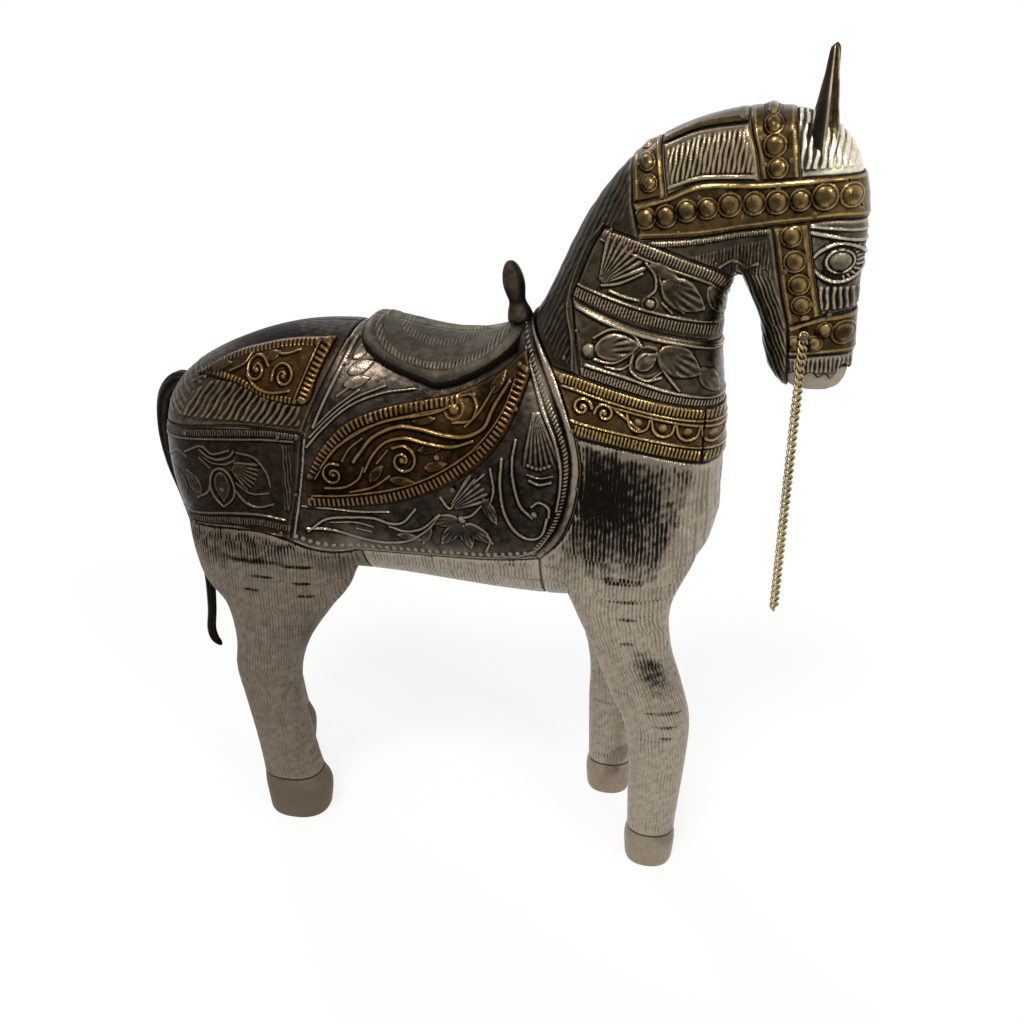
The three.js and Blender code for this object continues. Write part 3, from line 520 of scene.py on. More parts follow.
def struck_group():
    """Long chisel strokes side by side, in rows along a sheet's track, with some dark pits between rows."""
    group, nodes, given = new_group(
        "struck rows", dict.fromkeys(("Pitch", "Row", "Lean"), "Float"),
        dict.fromkeys(("Height", "Pits"), "Float"))
    track = nodes.painted("track", "Vector")
    along, up, _ = nodes.add("ShaderNodeSeparateXYZ", Vector=track).outputs
    sway = nodes.wander(nodes.noise(60.0, 1.0), 0.55)
    rows = nodes.plus(nodes.maths("DIVIDE", up, given["Row"]), sway)
    row, part = nodes.maths("FLOOR", rows), nodes.maths("FRACT", rows)
    dice = nodes.add("ShaderNodeTexWhiteNoise", {"noise_dimensions": "1D"}, W=row).outputs["Value"]
    bend = nodes.wander(nodes.noise(60.0, 1.0), 1.4)
    quiver = nodes.wander(nodes.noise(300.0, 1.0), 0.5)
    strokes = nodes.plus(nodes.maths("DIVIDE", along, given["Pitch"]), nodes.times(dice, 0.6))
    strokes = nodes.plus(strokes, nodes.plus(bend, quiver))
    strokes = nodes.plus(strokes, nodes.times(part, given["Lean"]))
    which = nodes.add("ShaderNodeCombineXYZ", X=nodes.maths("FLOOR", strokes), Y=row)
    dice = nodes.add("ShaderNodeTexWhiteNoise", {"noise_dimensions": "2D"},
                     Vector=which.outputs[0]).outputs["Value"]
    across = nodes.maths("ABSOLUTE", nodes.minus(nodes.maths("FRACT", strokes), 0.5))
    wide = nodes.span(up, 104.0, 124.0, 0.6, 1.0)
    groove = nodes.plus(0.36, nodes.times(dice, 0.14))
    groove = nodes.span(across, nodes.times(wide, 0.14), nodes.times(wide, groove), 1.0, 0.0)
    ends = nodes.times(nodes.span(part, 0.0, 0.12), nodes.span(part, 0.82, 0.98, 1.0, 0.0))
    force = nodes.plus(0.3, nodes.times(dice, 0.7))
    force = nodes.times(force, nodes.span(nodes.noise(90.0, 3.0, 0.7), 0.35, 0.6, 0.45, 1.0))
    cut = nodes.times(groove, nodes.plus(0.72, nodes.times(ends, 0.28)))
    out = nodes.add("NodeGroupOutput")
    force = nodes.times(force, nodes.span(up, 42.0, 82.0, 0.5, 1.0))
    nodes.set(out, "Height", nodes.times(nodes.times(cut, force), -1.0))
    some = nodes.span(nodes.noise(75.0, 2.0), 0.56, 0.64)
    between = nodes.times(nodes.minus(1.0, ends), nodes.times(groove, some))
    nodes.set(out, "Pits", nodes.times(between, 0.85))
    return group


STRUCK_ROWS = struck_group()


# The white metal is given as several copies, lighter at the head and front and darker at the rear: partly
# painted light and shade, as from lamps in front.
def metal(name, bright, ground, dirt, tint=(1.0, 0.86, 0.70), rise=-0.01, high=0.24, blotch=0.3,
          edge=0.85, rough=(0.18, 0.32), grit=0.2, rows=None, pale=0.2, pale_top=-1.0, pale_front=9.0):
    """A finish of old metal. Bright, ground, dirt and pale say how light each state is, and tint its hue."""
    made, nodes, shader = new_material(name)
    old = nodes.add("ShaderNodeGroup", {"node_tree": OLD_METAL})
    for key, level in (("Bright", bright), ("Ground", ground), ("Dirt", dirt), ("Pale", pale)):
        nodes.set(old, key, tuple(level * part for part in tint) + (1,))
    sizes = {
        "Pale Top": pale_top, "Hollow": -0.13, "Rise": rise, "High": high, "Blotch": blotch, "Edge": edge,
        "Rough Bright": rough[0], "Rough Ground": rough[1], "Grit": grit, "Marks": 0.0, "Mark Depth": 0.0,
        "Pits": 0.0, "Pale Front": pale_front,
    }
    for key, value in sizes.items():
        nodes.set(old, key, value)
    if rows:
        pitch, row, lean, depth, stain = rows
        struck = nodes.add("ShaderNodeGroup", {"node_tree": STRUCK_ROWS}, Pitch=pitch, Row=row, Lean=lean)
        nodes.set(old, "Marks", nodes.times(struck.outputs["Height"], depth))
        nodes.set(old, "Mark Depth", stain / depth)
        nodes.set(old, "Pits", struck.outputs["Pits"])
    for key in ("Roughness", "Metallic", "Normal"):
        nodes.set(shader, key, old.outputs[key])
    nodes.set(shader, "Base Color", old.outputs["Color"])
    return made


def seam(points, first=0, last=None):
    return spline(points, 5, first, last)


def outline(*seams):
    """One closed outline from seams and corners that follow each other."""
    joined = np.vstack([np.atleast_2d(np.asarray(s, float)) for s in seams])
    return joined[np.linalg.norm(joined - np.roll(joined, 1, 0), axis=1) > 0.01]


def side_view(p, side):
    """Where points lie seen from the side. The left legs count as if they stood beside the right ones."""
    return p[:, 0] + (step_back(p[:, 2]) if side > 0 else 0), p[:, 2]


def within(edge, u, v):
    """How far points lie from a closed outline, negative inside it."""
    nearest, inside = np.full(len(u), np.inf), np.zeros(len(u), bool)
    for (ax, az), (bx, bz) in zip(edge, np.roll(edge, -1, 0)):
        dx, dz = bx - ax, bz - az
        t = np.clip(((u - ax) * dx + (v - az) * dz) / (dx * dx + dz * dz), 0, 1)
        nearest = np.minimum(nearest, (u - ax - t * dx) ** 2 + (v - az - t * dz) ** 2)
        if az != bz:
            inside ^= ((az > v) != (bz > v)) & (u < ax + dx * (v - az) / dz)
    return np.where(inside, -1, 1) * np.sqrt(nearest)


def zip_rims(front, back):
    """Triangles between two loops of points that run side by side. Each loop is numbers and places."""
    (f, at_f), (b, at_b) = front, back
    start = int(np.linalg.norm(at_b - at_f[0], axis=1).argmin())
    b, at_b = np.roll(b, -start), np.roll(at_b, -start, 0)
    f, b = np.append(f, f[0]), np.append(b, b[0])
    at_f, at_b = np.vstack([at_f, at_f[:1]]), np.vstack([at_b, at_b[:1]])
    tris, i, k = [], 0, 0
    while i < len(f) - 1 or k < len(b) - 1:
        ahead = math.dist(at_f[i + 1], at_b[k]) if i < len(f) - 1 else math.inf
        behind = math.dist(at_f[i], at_b[k + 1]) if k < len(b) - 1 else math.inf
        if ahead <= behind:
            tris.append((f[i + 1], f[i], b[k]))
            i += 1
        else:
            tris.append((f[i], b[k], b[k + 1]))
            k += 1
    return tris


def give_map(mesh, name, values, kind="FLOAT"):
    """Stores a number or a vector at every point of a mesh, under the name by which a material reads it."""
    stored = mesh.attributes.new(name, kind, "POINT").data
    stored.foreach_set("value" if kind == "FLOAT" else "vector", np.asarray(values, np.float32).ravel())


def closed_sheet(name, faces, backs, high, low, tone, bare):
    """A solid sheet from the two cuts of its face and its back, moved out to their heights."""
    points, out, tris, inner = faces
    back, back_out, back_tris, _ = backs
    front_at = points + out * high[:, None]
    back_at = back - back_out * low
    start = len(points)
    rim_tris = []
    behind = rims(back_tris)
    for loop in rims(tris):
        here = points[loop].mean(0)
        score = [np.linalg.norm(back[b].mean(0) - here) + abs(len(b) - len(loop)) * 0.001 for b in behind]
        if score and min(score) < RIMS_APART:
            other = behind.pop(int(np.argmin(score)))
            rim_tris += zip_rims((loop, points[loop]), (other + start, back[other]))
        else:
            rim_tris += [(int(b), int(a), int(loop[0])) for a, b in zip(loop[1:], loop[2:])]
    for other in behind:
        rim_tris += [(int(a) + start, int(b) + start, int(other[0]) + start)
                     for a, b in zip(other[1:], other[2:])]
    rim_tris = np.array(rim_tris, np.int64).reshape(-1, 3)
    made = mesh_object(name, np.vstack([front_at, back_at]),
                       np.vstack([tris, back_tris[:, ::-1] + start, rim_tris]))
    edges = np.sort(np.vstack([tris[:, [0, 1]], tris[:, [1, 2]], tris[:, [2, 0]]]), 1).T
    nearby = eased(high, edges, 6)
    # This map is the real wearing of the relief, high places bright and hollows dark, plus the tone: spots of
    # painted light and shade.
    worn_and_lit = 1.3 * (high - nearby) + 0.3 * (high - eased(nearby, edges, 24)) + tone
    turned = np.cross(front_at[tris[:, 1]] - front_at[tris[:, 0]],
                      front_at[tris[:, 2]] - front_at[tris[:, 0]])
    slope = np.zeros_like(points)
    for corner in range(3):
        np.add.at(slope, tris[:, corner], turned)
    slope = slope / np.maximum(np.linalg.norm(slope, axis=1), 1e-9)[:, None] - out
    # Painted light and shade: a form is made lighter on the side that looks up and forward, toward the lamps,
    # and darker beneath, partly as grime.
    worn_and_lit = worn_and_lit + 0.28 * eased(slope @ np.array([0.35, 0, 0.94]), edges, 1)
    for key, values in (("wear_and_light", worn_and_lit), ("edge", np.minimum(inner, EDGE_REACH)), ("bare", bare + 0 * high)):
        give_map(made.data, key, np.append(values, np.full(len(back), values.min())))
    return made


def dents(p):
    """The slight unevenness of sheet that was beaten over wood by hand."""
    ways = ((0.9, 0.5, 0.3), (-0.4, 0.8, 0.7), (0.2, -0.5, 1.1), (1.3, 0.2, -0.8),
            (-0.9, 0.6, 1.5), (0.5, 1.7, 0.9))
    depth = 0
    for i, way in enumerate(ways):
        along = p @ np.array(way)
        broad = math.sin(1.7 * i + 1) * 0.3 * np.sin(along + 2.3 * i)
        depth = depth + (broad + 0.25 * np.sin(1.4 * along + i))
    return depth / 2


def light_and_wear_spots(*spots, level=0.0):
    """Spots where a sheet is made lighter or darker, mostly painted highlights and painted shade and some
    real worn or dark patches: each with place, reach in x and z, and how much.
    """
    def tone(u, v):
        return level + sum(much * np.exp(-((u - x) / wide) ** 2 - ((v - z) / tall) ** 2)
                           for x, z, wide, tall, much in spots)
    return tone


def sheet(name, edge, side, material, stands_for, facet=PLAIN, rise=0.0, thick=THICKNESS, work=None,
          also=None, roll=0.3, track=None, source=None, tone=None, bare=None):
    """One sheet over an outline seen from the side: on one side of the horse or, with side 0, across it."""
    def field(p):
        u, v = side_view(p, side)
        depth = within(edge, u, v) + GAP / 2
        if side:
            depth = np.maximum(depth, GAP / 2 - side * p[:, 1])
        return depth if also is None else np.maximum(depth, also(p))

    low = np.array([edge[:, 0].min() - 2 - (STEP if side > 0 else 0), -60, edge[:, 1].min() - 2])
    high = np.array([edge[:, 0].max() + 2, 60, edge[:, 1].max() + 2])
    if side:
        low[1], high[1] = (-1, 60) if side > 0 else (-60, 1)
    if also is not None:
        low[1], high[1] = -60, 60
    skins = source or SKINS
    faces = cut_out(skins[facet], field, low, high)
    points, _, _, inner = faces
    height = np.full(len(points), float(rise))
    if work:
        u, v = side_view(points, side)
        height = height + work(u, v, points, inner)
    height = height - roll * (1 - ease(0, 1.0, inner)) ** 2 + 0.07 * dents(points) * ease(0, 2, inner)
    tones, bares = (way(*side_view(points, side)) if way else 0.0 for way in (tone, bare))
    backs = cut_out(skins[BACKING], field, low, high)
    made = closed_sheet(name, faces, backs, height, thick - rise, tones, bares)
    if track:
        along, up = track(points, side)
        values = np.zeros((len(made.data.vertices), 3), np.float32)
        values[:len(points), 0], values[:len(points), 1] = along, up
        give_map(made.data, "track", values, "FLOAT_VECTOR")
    finish(made, material, stands_for, sharp=60)
    return made


CLOTH_FRONT_LOW = [(38.8, 165.4), (40.7, 155), (39.1, 141), (34.6, 129.5), (27.5, 121.5)]
CLOTH_LOW = [(-58.8, 121.4), (-50, 118.3), (-36, 116.8), (-4, 118.1), (13.8, 119.4), (27.5, 121.5)]
BREAST_LOW = [(38.8, 165.4), (59.2, 161.7), (78.7, 157.1), (95, 153.5)]
THIGH_LOW = [(-128, 121.5), (-94.2, 123.3), (-72, 124.3), (-58.8, 121.4)]
BELLY_FRONT, BELLY_REAR, UNDER_BELLY = 27.5, -36, 88
HOOF_FORE, HOOF_HIND = 13.5, 17.5
SHOULDER = outline(
    seam(BREAST_LOW), (95, HOOF_FORE), (BELLY_FRONT, HOOF_FORE), (BELLY_FRONT, UNDER_BELLY),
    seam(CLOTH_FRONT_LOW)[::-1],
)
BELLY = outline(seam(CLOTH_LOW, 2), (BELLY_FRONT, UNDER_BELLY), (BELLY_REAR, UNDER_BELLY))
HAUNCH = outline(
    seam(THIGH_LOW), seam(CLOTH_LOW, 0, 2), (BELLY_REAR, UNDER_BELLY), (BELLY_REAR, HOOF_HIND),
    (-128, HOOF_HIND),
)

haunch_metal = metal("beaten white metal of the haunch", 0.20, 0.05, 0.008, tint=(1.0, 0.79, 0.57),
                     blotch=0.5, rough=(0.42, 0.6), grit=0.3, rows=(1.15, 4.6, 0.2, 0.5, 0.28), rise=-0.14,
                     high=0.06, pale=0.222, pale_top=0.116)
chest_metal = metal("beaten white metal of the chest", 0.26, 0.028, 0.009, tint=(1.0, 0.83, 0.62), blotch=0.3,
                    rough=(0.2, 0.36), rows=(1.3, 6.2, 0.1, 0.6, 0.2), rise=-0.12, high=0.05, pale=0.39,
                    pale_top=0.123, pale_front=0.066)


def leg_track(p, side):
    """Strokes run down body and legs. They follow the middle of each leg, and go round it by its girth."""
    middle = 0.0
    for rings, here in ((FORE_LEG, p[:, 0] > -5), (HIND_LEG, p[:, 0] <= -5)):
        way = sorted(((az + bz) / 2, (ax + bx) / 2) for ax, az, bx, bz, _ in rings)
        middle = middle + here * np.interp(p[:, 2], *zip(*way))
    middle = middle - (step_back(p[:, 2]) if side > 0 else 0)
    off, out = p[:, 0] - middle, side * p[:, 1] - STANCE
    low = 1 - ease(78, 98, p[:, 2])
    # On the chest, above the legs, the rows of strokes stand farther apart.
    up = np.minimum(p[:, 2], 124) + 0.4 * np.maximum(p[:, 2] - 124, 0)
    return off * (1 - low) + np.hypot(off, out) * np.arctan2(off, np.abs(out)) * low, up


# Short dark rows across the legs: where each lies, and its reach along the horse and up.
FORE_MARKS = [
    (55, 118, 9.6, 1.8), (57, 110.8, 8.4, 0.75), (46.6, 128, 5.4, 1.5), (71.9, 67.4, 7.4, 0.75),
    (72.4, 62, 5, 0.75), (73.4, 57.4, 3.4, 0.75), (58.2, 104.2, 4.3, 0.75), (57.7, 94.9, 3.2, 0.75),
]
HIND_MARKS = [
    (-73.6, 112.8, 13, 1.2), (-56.4, 111.6, 7, 0.75), (-70, 106.9, 6.1, 0.75), (-56.2, 105.2, 5.1, 0.75),
    (-55.4, 100, 3.8, 0.75), (-44.9, 119.6, 22.1, 0.9), (-75.8, 101.4, 4.9, 0.75),
]
# On the chest: painted shade over its rear part, a little painted light at the front, and painted highlights
# in two strips under the breast band. The two spots at the knee are real dark patches.
chest_tone = light_and_wear_spots((46, 149, 22, 19, -0.12), (74, 150, 10, 14, 0.05), (62, 160.6, 9, 1.6, 0.2),
                    (75, 157.8, 7, 1.5, 0.22), (66.5, 84, 8, 7, -0.05), (71.5, 76.5, 8, 9, -0.05))
haunch_tone = light_and_wear_spots(*((*spot, -0.1) for spot in HIND_MARKS))
fore_bare = light_and_wear_spots(*((*spot, 1) for spot in FORE_MARKS), (63.5, 88, 7.5, 7, 0.55),
                   (70, 77.5, 7, 10, 0.55), (60, 150, 15, 8, 0.8))
hind_bare = light_and_wear_spots(*((*spot, 1) for spot in HIND_MARKS))
for name, side in SIDES:
    for part, edge, material, tone, bare in (
            ("shoulder", SHOULDER, chest_metal, chest_tone, fore_bare),
            ("belly", BELLY, chest_metal, None, None),
            ("haunch", HAUNCH, haunch_metal, haunch_tone, hind_bare)):
        sheet(f"{part}_sheet_{name}", edge, side, material, [f"{part}_plate_{name}"],
              track=leg_track, tone=tone, bare=bare)

# The hoof caps, of the same white metal: cups with flat soles, driven up over the feet until their rims
# meet the sheets of the legs.
fore_hoof_metal = metal("rubbed white metal of the fore hooves", 0.3, 0.1, 0.03, tint=(1.0, 0.80, 0.56),
                        grit=0.3, rise=-0.2, high=0.1, pale=0.31, pale_top=0.1)
hind_hoof_metal = metal("rubbed white metal of the hind hooves", 0.2, 0.08, 0.02, tint=(1.0, 0.77, 0.50),
                        grit=0.4, rise=-0.2, high=0.1, pale=0.145, pale_top=0.1, rough=(0.45, 0.6))
for end, forward, top, hoof_metal in (("fore", 1, HOOF_FORE, fore_hoof_metal),
                                      ("hind", -1, HOOF_HIND, hind_hoof_metal)):
    for name, side in SIDES:
        def foot(p):
            return np.max([p[:, 2] - top + GAP, -forward * p[:, 0], -side * p[:, 1], -p[:, 2]], 0)
        points, out, tris, inner = cut_out(SKINS[PLAIN], foot, -OUTSIDE, OUTSIDE)
        at_sole, at_rim = 1 - ease(0, 1.2, points[:, 2]), 1 - ease(0, 0.8, top - GAP - points[:, 2])
        rounded = 0.35 * at_sole + 0.25 * at_rim
        points = points - out * rounded[:, None]
        points[:, 2] = np.maximum(points[:, 2], 0)
        count = len(points)
        points, tris = plugged(points, tris)
        cap = mesh_object(f"hoof_{end}_{name}", points, tris)
        from_top = np.append(np.minimum(top - points[:count, 2], EDGE_REACH), [0, 0])[:len(points)]
        give_map(cap.data, "wear_and_light", np.zeros(len(points)))
        give_map(cap.data, "edge", from_top)
        give_map(cap.data, "track", np.stack([*leg_track(points, side), np.zeros(len(points))], -1),
                 "FLOAT_VECTOR")
        finish(cap, hoof_metal, [f"hoof_cap_{end}_{name}"], sharp=50)

# The rump and thigh sheets, of the same white metal. The rump is cut with slanting ridges, the thigh band
# has a ribbed border above and below, with a flower and half fans between them.


def near_path(u, v, path, reach):
    """The points within reach of a curve: their numbers, how far along it they lie, and how far beside it."""
    low, high = path.min(0) - reach, path.max(0) + reach
    at = np.flatnonzero((u > low[0]) & (u < high[0]) & (v > low[1]) & (v < high[1]))
    x, z = u[at], v[at]
    nearest, along = np.full(len(at), reach * reach), np.full(len(at), -1.0)
    beside, run = np.zeros(len(at)), 0.0
    for (ax, az), (bx, bz) in zip(path[:-1], path[1:]):
        length = math.hypot(bx - ax, bz - az)
        t = np.clip(((x - ax) * (bx - ax) + (z - az) * (bz - az)) / length**2, 0, 1)
        off_x, off_z = x - ax - t * (bx - ax), z - az - t * (bz - az)
        far = off_x**2 + off_z**2
        hit = far < nearest
        nearest[hit], along[hit] = far[hit], run + t[hit] * length
        beside[hit] = (np.copysign(np.sqrt(far), (bx - ax) * off_z - (bz - az) * off_x))[hit]
        run += length
    hit = along >= 0
    return at[hit], along[hit], beside[hit]


def cord(points, width, height, pitch=0.0, slant=0.0):
    """A raised line along a curve. With a pitch it is a row of short ribs across the curve."""
    path = spline(points, 4) if len(points) > 2 else np.asarray(points, float)

    def form(u, v):
        at, along, beside = near_path(u, v, path, width / 2)
        across = np.abs(2 * beside / width)
        if not pitch:
            return at, height * (1 - across**2) ** 1.6
        rib = 0.5 + 0.5 * np.cos(2 * np.pi * (along + slant * beside) / pitch)
        return at, height * (1 - across**4) * (0.12 + 0.88 * ease(0.15, 0.85, rib))
    return form


def boss(x, z, radius, height, rim=False, centre=0.62):
    """A round boss. With a rim, a ring stands round a smaller dome."""
    def form(u, v):
        far = np.hypot(u - x, v - z)
        at = np.flatnonzero(far < radius)
        far = far[at] / radius
        if not rim:
            return at, height * (1 - far**2) ** 0.75
        ring = 0.3 * np.sqrt(np.maximum(1 - ((far - 0.9) / 0.1) ** 2, 0))
        return at, height * np.maximum(ring, np.maximum(1 - (far / centre) ** 2, 0) ** 0.8)
    return form


def petal(base, tip, width, height, veins=0.0, rim=0.5):
    """A domed leaf from base to tip, with a raised edge, and with veins that fan out over its far half."""
    base, tip = np.asarray(base, float), np.asarray(tip, float)
    length = np.linalg.norm(tip - base)
    dx, dz = (tip - base) / length

    def form(u, v):
        along = ((u - base[0]) * dx + (v - base[1]) * dz) / length
        beside = (v - base[1]) * dx - (u - base[0]) * dz
        half = width / 2 * np.sin(np.pi * np.clip(along, 0.001, 0.999) ** 0.8) ** 0.8
        at = np.flatnonzero((along > 0) & (along < 1) & (np.abs(beside) < half))
        t, s, b = np.abs(beside[at] / half[at]), along[at] * length, beside[at]
        rise = 0.75 * (1 - t**2) ** 0.6 + 0.5 * rim * ease(0.55, 0.8, t) * (1 - ease(0.88, 1.0, t))
        if veins:
            fan = np.arctan2(b, s + 0.3 * length) * length / veins
            fade = ease(0, 0.3, 1 - t) * ease(0.3, 0.6, s / length) * ease(0, 0.15, 1 - s / length)
            rise -= 0.3 * (0.5 + 0.5 * np.cos(2 * np.pi * fan)) * fade
        return at, height * rise
    return form


def shell(x, z, radius, start, end, lobes, height, inner=0.12):
    """A fan of ridges about a point, between two angles in degrees, with a scalloped edge."""
    def form(u, v):
        far = np.hypot(u - x, v - z)
        turn = (np.degrees(np.arctan2(v - z, u - x)) - start) % 360 / (end - start) * lobes
        at = np.flatnonzero((far < radius) & (turn > 0) & (turn < lobes) & (far > inner * radius))
        lobe = np.abs(np.sin(np.pi * turn[at]))
        out = far[at] / (radius * (0.86 + 0.14 * lobe))
        rise = np.sqrt(lobe) * np.sqrt(np.clip(1 - out**4, 0, 1)) * (0.35 + 0.65 * np.minimum(out * 1.4, 1))
        return at, height * rise
    return form


def comb(edge, pitch, lean, height, fade=0.7):
    """Straight ridges inside an outline, no two quite alike, leaning by so many degrees from upright."""
    edge = np.asarray(edge, float)
    cos, sin = math.cos(math.radians(lean)), math.sin(math.radians(lean))

    def form(u, v):
        low, high = edge.min(0), edge.max(0)
        at = np.flatnonzero((u > low[0]) & (u < high[0]) & (v > low[1]) & (v < high[1]))
        x, z = u[at], v[at]
        across = (x * cos - z * sin) / pitch
        luck = np.abs(np.sin(12.9898 * np.round(across)) * 43758.5) % 1
        rib = 0.5 + 0.5 * np.cos(2 * np.pi * (across + 0.1 * np.sin(0.9 * z + 9 * luck)))
        return at, height * (0.6 + 0.4 * luck) * rib * ease(0, fade, -within(edge, x, z))
    return form


def chased(*forms):
    """The work on a sheet: the highest of its raised forms, less what is cut into it."""
    def work(u, v, points, inner):
        high = np.zeros(len(u))
        for form in forms:
            at, rise = form(u, v)
            raised = rise >= 0
            np.maximum.at(high, at[raised], rise[raised])
            high[at[~raised]] += rise[~raised]
        return high
    return work


rump_metal = metal("chased white metal of the rump", 0.20, 0.024, 0.005, tint=(1.0, 0.71, 0.42),
                   rough=(0.26, 0.44))
# The thigh's metal is set darker than the other sheets: painted shade at the rear of the horse.
shaded_thigh_metal = metal("chased white metal of the thigh, painted in shade", 0.13, 0.012, 0.003, tint=(1.0, 0.74, 0.50))
CLOTH_REAR = [(-38, 206), (-40.2, 190.5), (-48.2, 171.4), (-52.4, 160.5)]
CLOTH_REAR_LOW = [(-52.4, 160.5), (-54.6, 143.7), (-58, 129), (-58.8, 121.4)]
THIGH_TOP = [(-128, 155), (-98.3, 158.3), (-75, 161.4), (-52.4, 160.5)]
RUMP = outline(seam(CLOTH_REAR), seam(THIGH_TOP)[::-1], (-128, 206))
THIGH = outline(seam(THIGH_TOP), seam(CLOTH_REAR_LOW), seam(THIGH_LOW)[::-1])
rump_work = chased(
    comb([(-99, 161.5), (-95, 170), (-86, 175), (-76, 175.5), (-62, 171), (-53, 169.5), (-53, 162.5),
          (-75, 163)], 2.1, 33, 0.5),
    comb([(-128, 160), (-99, 161.5), (-95, 170), (-86, 176.5), (-96, 179), (-106, 174),
          (-128, 172)], 2.6, -62, 0.25),
    cord([(-96, 172.5), (-86, 177), (-76, 177.2), (-64, 173)], 1.2, 0.3),
    cord([(-104, 181), (-92, 188.5), (-76, 194), (-58, 197.4), (-43, 198.6)], 1.0, 0.22),
    cord([(-101, 178.6), (-90, 185.4), (-75, 190.6), (-58, 193.6), (-43, 194.8)], 1.0, 0.22),
    cord([(-98, 184.6), (-84, 192.4), (-66, 198), (-44, 201.4)], 0.9, 0.18),
)
thigh_work = chased(
    cord([(-120, 155.2), (-97, 158.2), (-82, 160.3), (-66, 161.3), (-53, 160.6)], 0.9, 0.35),
    cord([(-120, 153.3), (-97, 156.3), (-82, 158.4), (-66, 159.8), (-55, 159.2)], 2.6, 0.3, 0.95),
    cord([(-120, 151.4), (-97, 154.4), (-82, 156.2), (-66, 157.6), (-55.6, 157.6)], 0.9, 0.4),
    cord([(-120, 125.8), (-98, 127.3), (-82, 129.6), (-70, 130.2), (-60.6, 129)], 1.0, 0.45),
    cord([(-120, 124), (-98, 125.3), (-82, 127), (-70, 127.4), (-59.6, 126)], 2.6, 0.3, 0.95),
    cord([(-120, 122.3), (-96, 123.7), (-79, 124.9), (-62, 123.4)], 0.9, 0.4),
    comb([(-61.5, 132), (-60, 156.5), (-55.6, 156.8), (-56.5, 145), (-58.6, 132)], 1.1, 0, 0.28),
    boss(-83.4, 137.9, 2.4, 0.55, rim=True),
    cord([(-83.2, 131.6), (-87, 135), (-88, 139.4), (-86.4, 144), (-83.3, 145.8), (-80.2, 144),
          (-78.6, 139.4), (-79.6, 135), (-83.2, 131.6)], 1.1, 0.45),
    petal((-83.3, 144.6), (-83.3, 133.4), 6.4, 0.4),
    cord([(-87.4, 141.9), (-89.2, 136.4), (-94, 133.4)], 1.1, 0.4),
    cord([(-91, 151.4), (-87.6, 149.4), (-83.8, 148.9), (-79.4, 150.4), (-77.6, 152.4)], 1.1, 0.4),
    cord([(-89.6, 149), (-86, 147.4), (-81, 147.6), (-77.4, 149.4)], 0.8, 0.3),
    cord([(-78.2, 138), (-75, 134.2), (-70.2, 132.8), (-64.8, 134.2)], 1.1, 0.4),
    cord([(-77.6, 141), (-72.4, 137.6), (-66, 138.4)], 0.9, 0.35),
    shell(-80.8, 148.6, 12.5, -58, 4, 7, 0.5, inner=0.25),
    cord([(-76.4, 152.2), (-70, 151), (-66, 146), (-65, 141)], 0.9, 0.35),
    petal((-92.5, 135), (-97.5, 143.4), 5.5, 0.45, veins=1.7),
    petal((-99, 134), (-104.5, 143), 6, 0.4, veins=1.7),
    cord([(-97.5, 149.6), (-90.5, 152.8), (-86, 150.6), (-79.5, 152.6)], 1.0, 0.4),
    cord([(-91.5, 148.6), (-87.4, 145.5)], 0.8, 0.3),
    cord([(-107, 146), (-101, 149.5), (-97, 148)], 0.9, 0.3),
)
for name, side in SIDES:
    # Painted shade along the top of the rump, and a little lighter just above the thigh band.
    sheet(f"rump_sheet_{name}", RUMP, side, rump_metal, [f"rump_plate_{name}"], facet=CHASED,
          work=rump_work, tone=light_and_wear_spots((-72, 188, 40, 9, -0.13), (-80, 164, 30, 6, 0.05)))
    sheet(f"thigh_sheet_{name}", THIGH, side, shaded_thigh_metal, [f"thigh_band_{name}"],
          facet=CHASED, work=thigh_work)

# The neck is covered by a long plain sheet under the mane line, scored with slanting lines, and by two
# sheets chased with shells and leaves between ribbed borders.
CLOTH_FRONT = [(18.5, 206), (22.5, 197.2), (29.8, 186.4), (33.2, 179.4), (38.8, 165.4)]
NAPE_REAR = [(47, 262), (50.5, 249), (52.2, 236)]
NECK_REAR = [(43.9, 228.8), (40, 221.6), (35, 207.7)]
NECK_REAR_LOW = [(35, 207.7), (37.3, 195.1), (39.3, 184.6)]
BROW_LOW = [(55.3, 225.8), (73, 227.3), (93.3, 230.9)]
NECK_TOP = [(43.9, 228.8), (55.3, 225.8), (67.4, 221.5), (78.1, 217), (84, 212.5), (88, 196)]
NECK_MIDDLE = [(35, 207.7), (44.5, 204.3), (57, 200.2), (69, 197.5), (79, 195), (89, 192)]
BREAST_TOP = [(39.3, 184.6), (58.2, 179.5), (76.5, 175.1), (95, 171.5)]
UPPER_NECK = outline(seam(NECK_TOP), seam(NECK_MIDDLE)[::-1], seam(NECK_REAR)[::-1])
LOWER_NECK = outline(seam(NECK_MIDDLE), seam(BREAST_TOP)[::-1], seam(NECK_REAR_LOW)[::-1])
MANE = outline(
    seam(NAPE_REAR), BROW_LOW[0], seam(NECK_REAR), seam(NECK_REAR_LOW), seam(CLOTH_FRONT, 0, 2)[::-1],
    (8, 206), (8, 262),
)
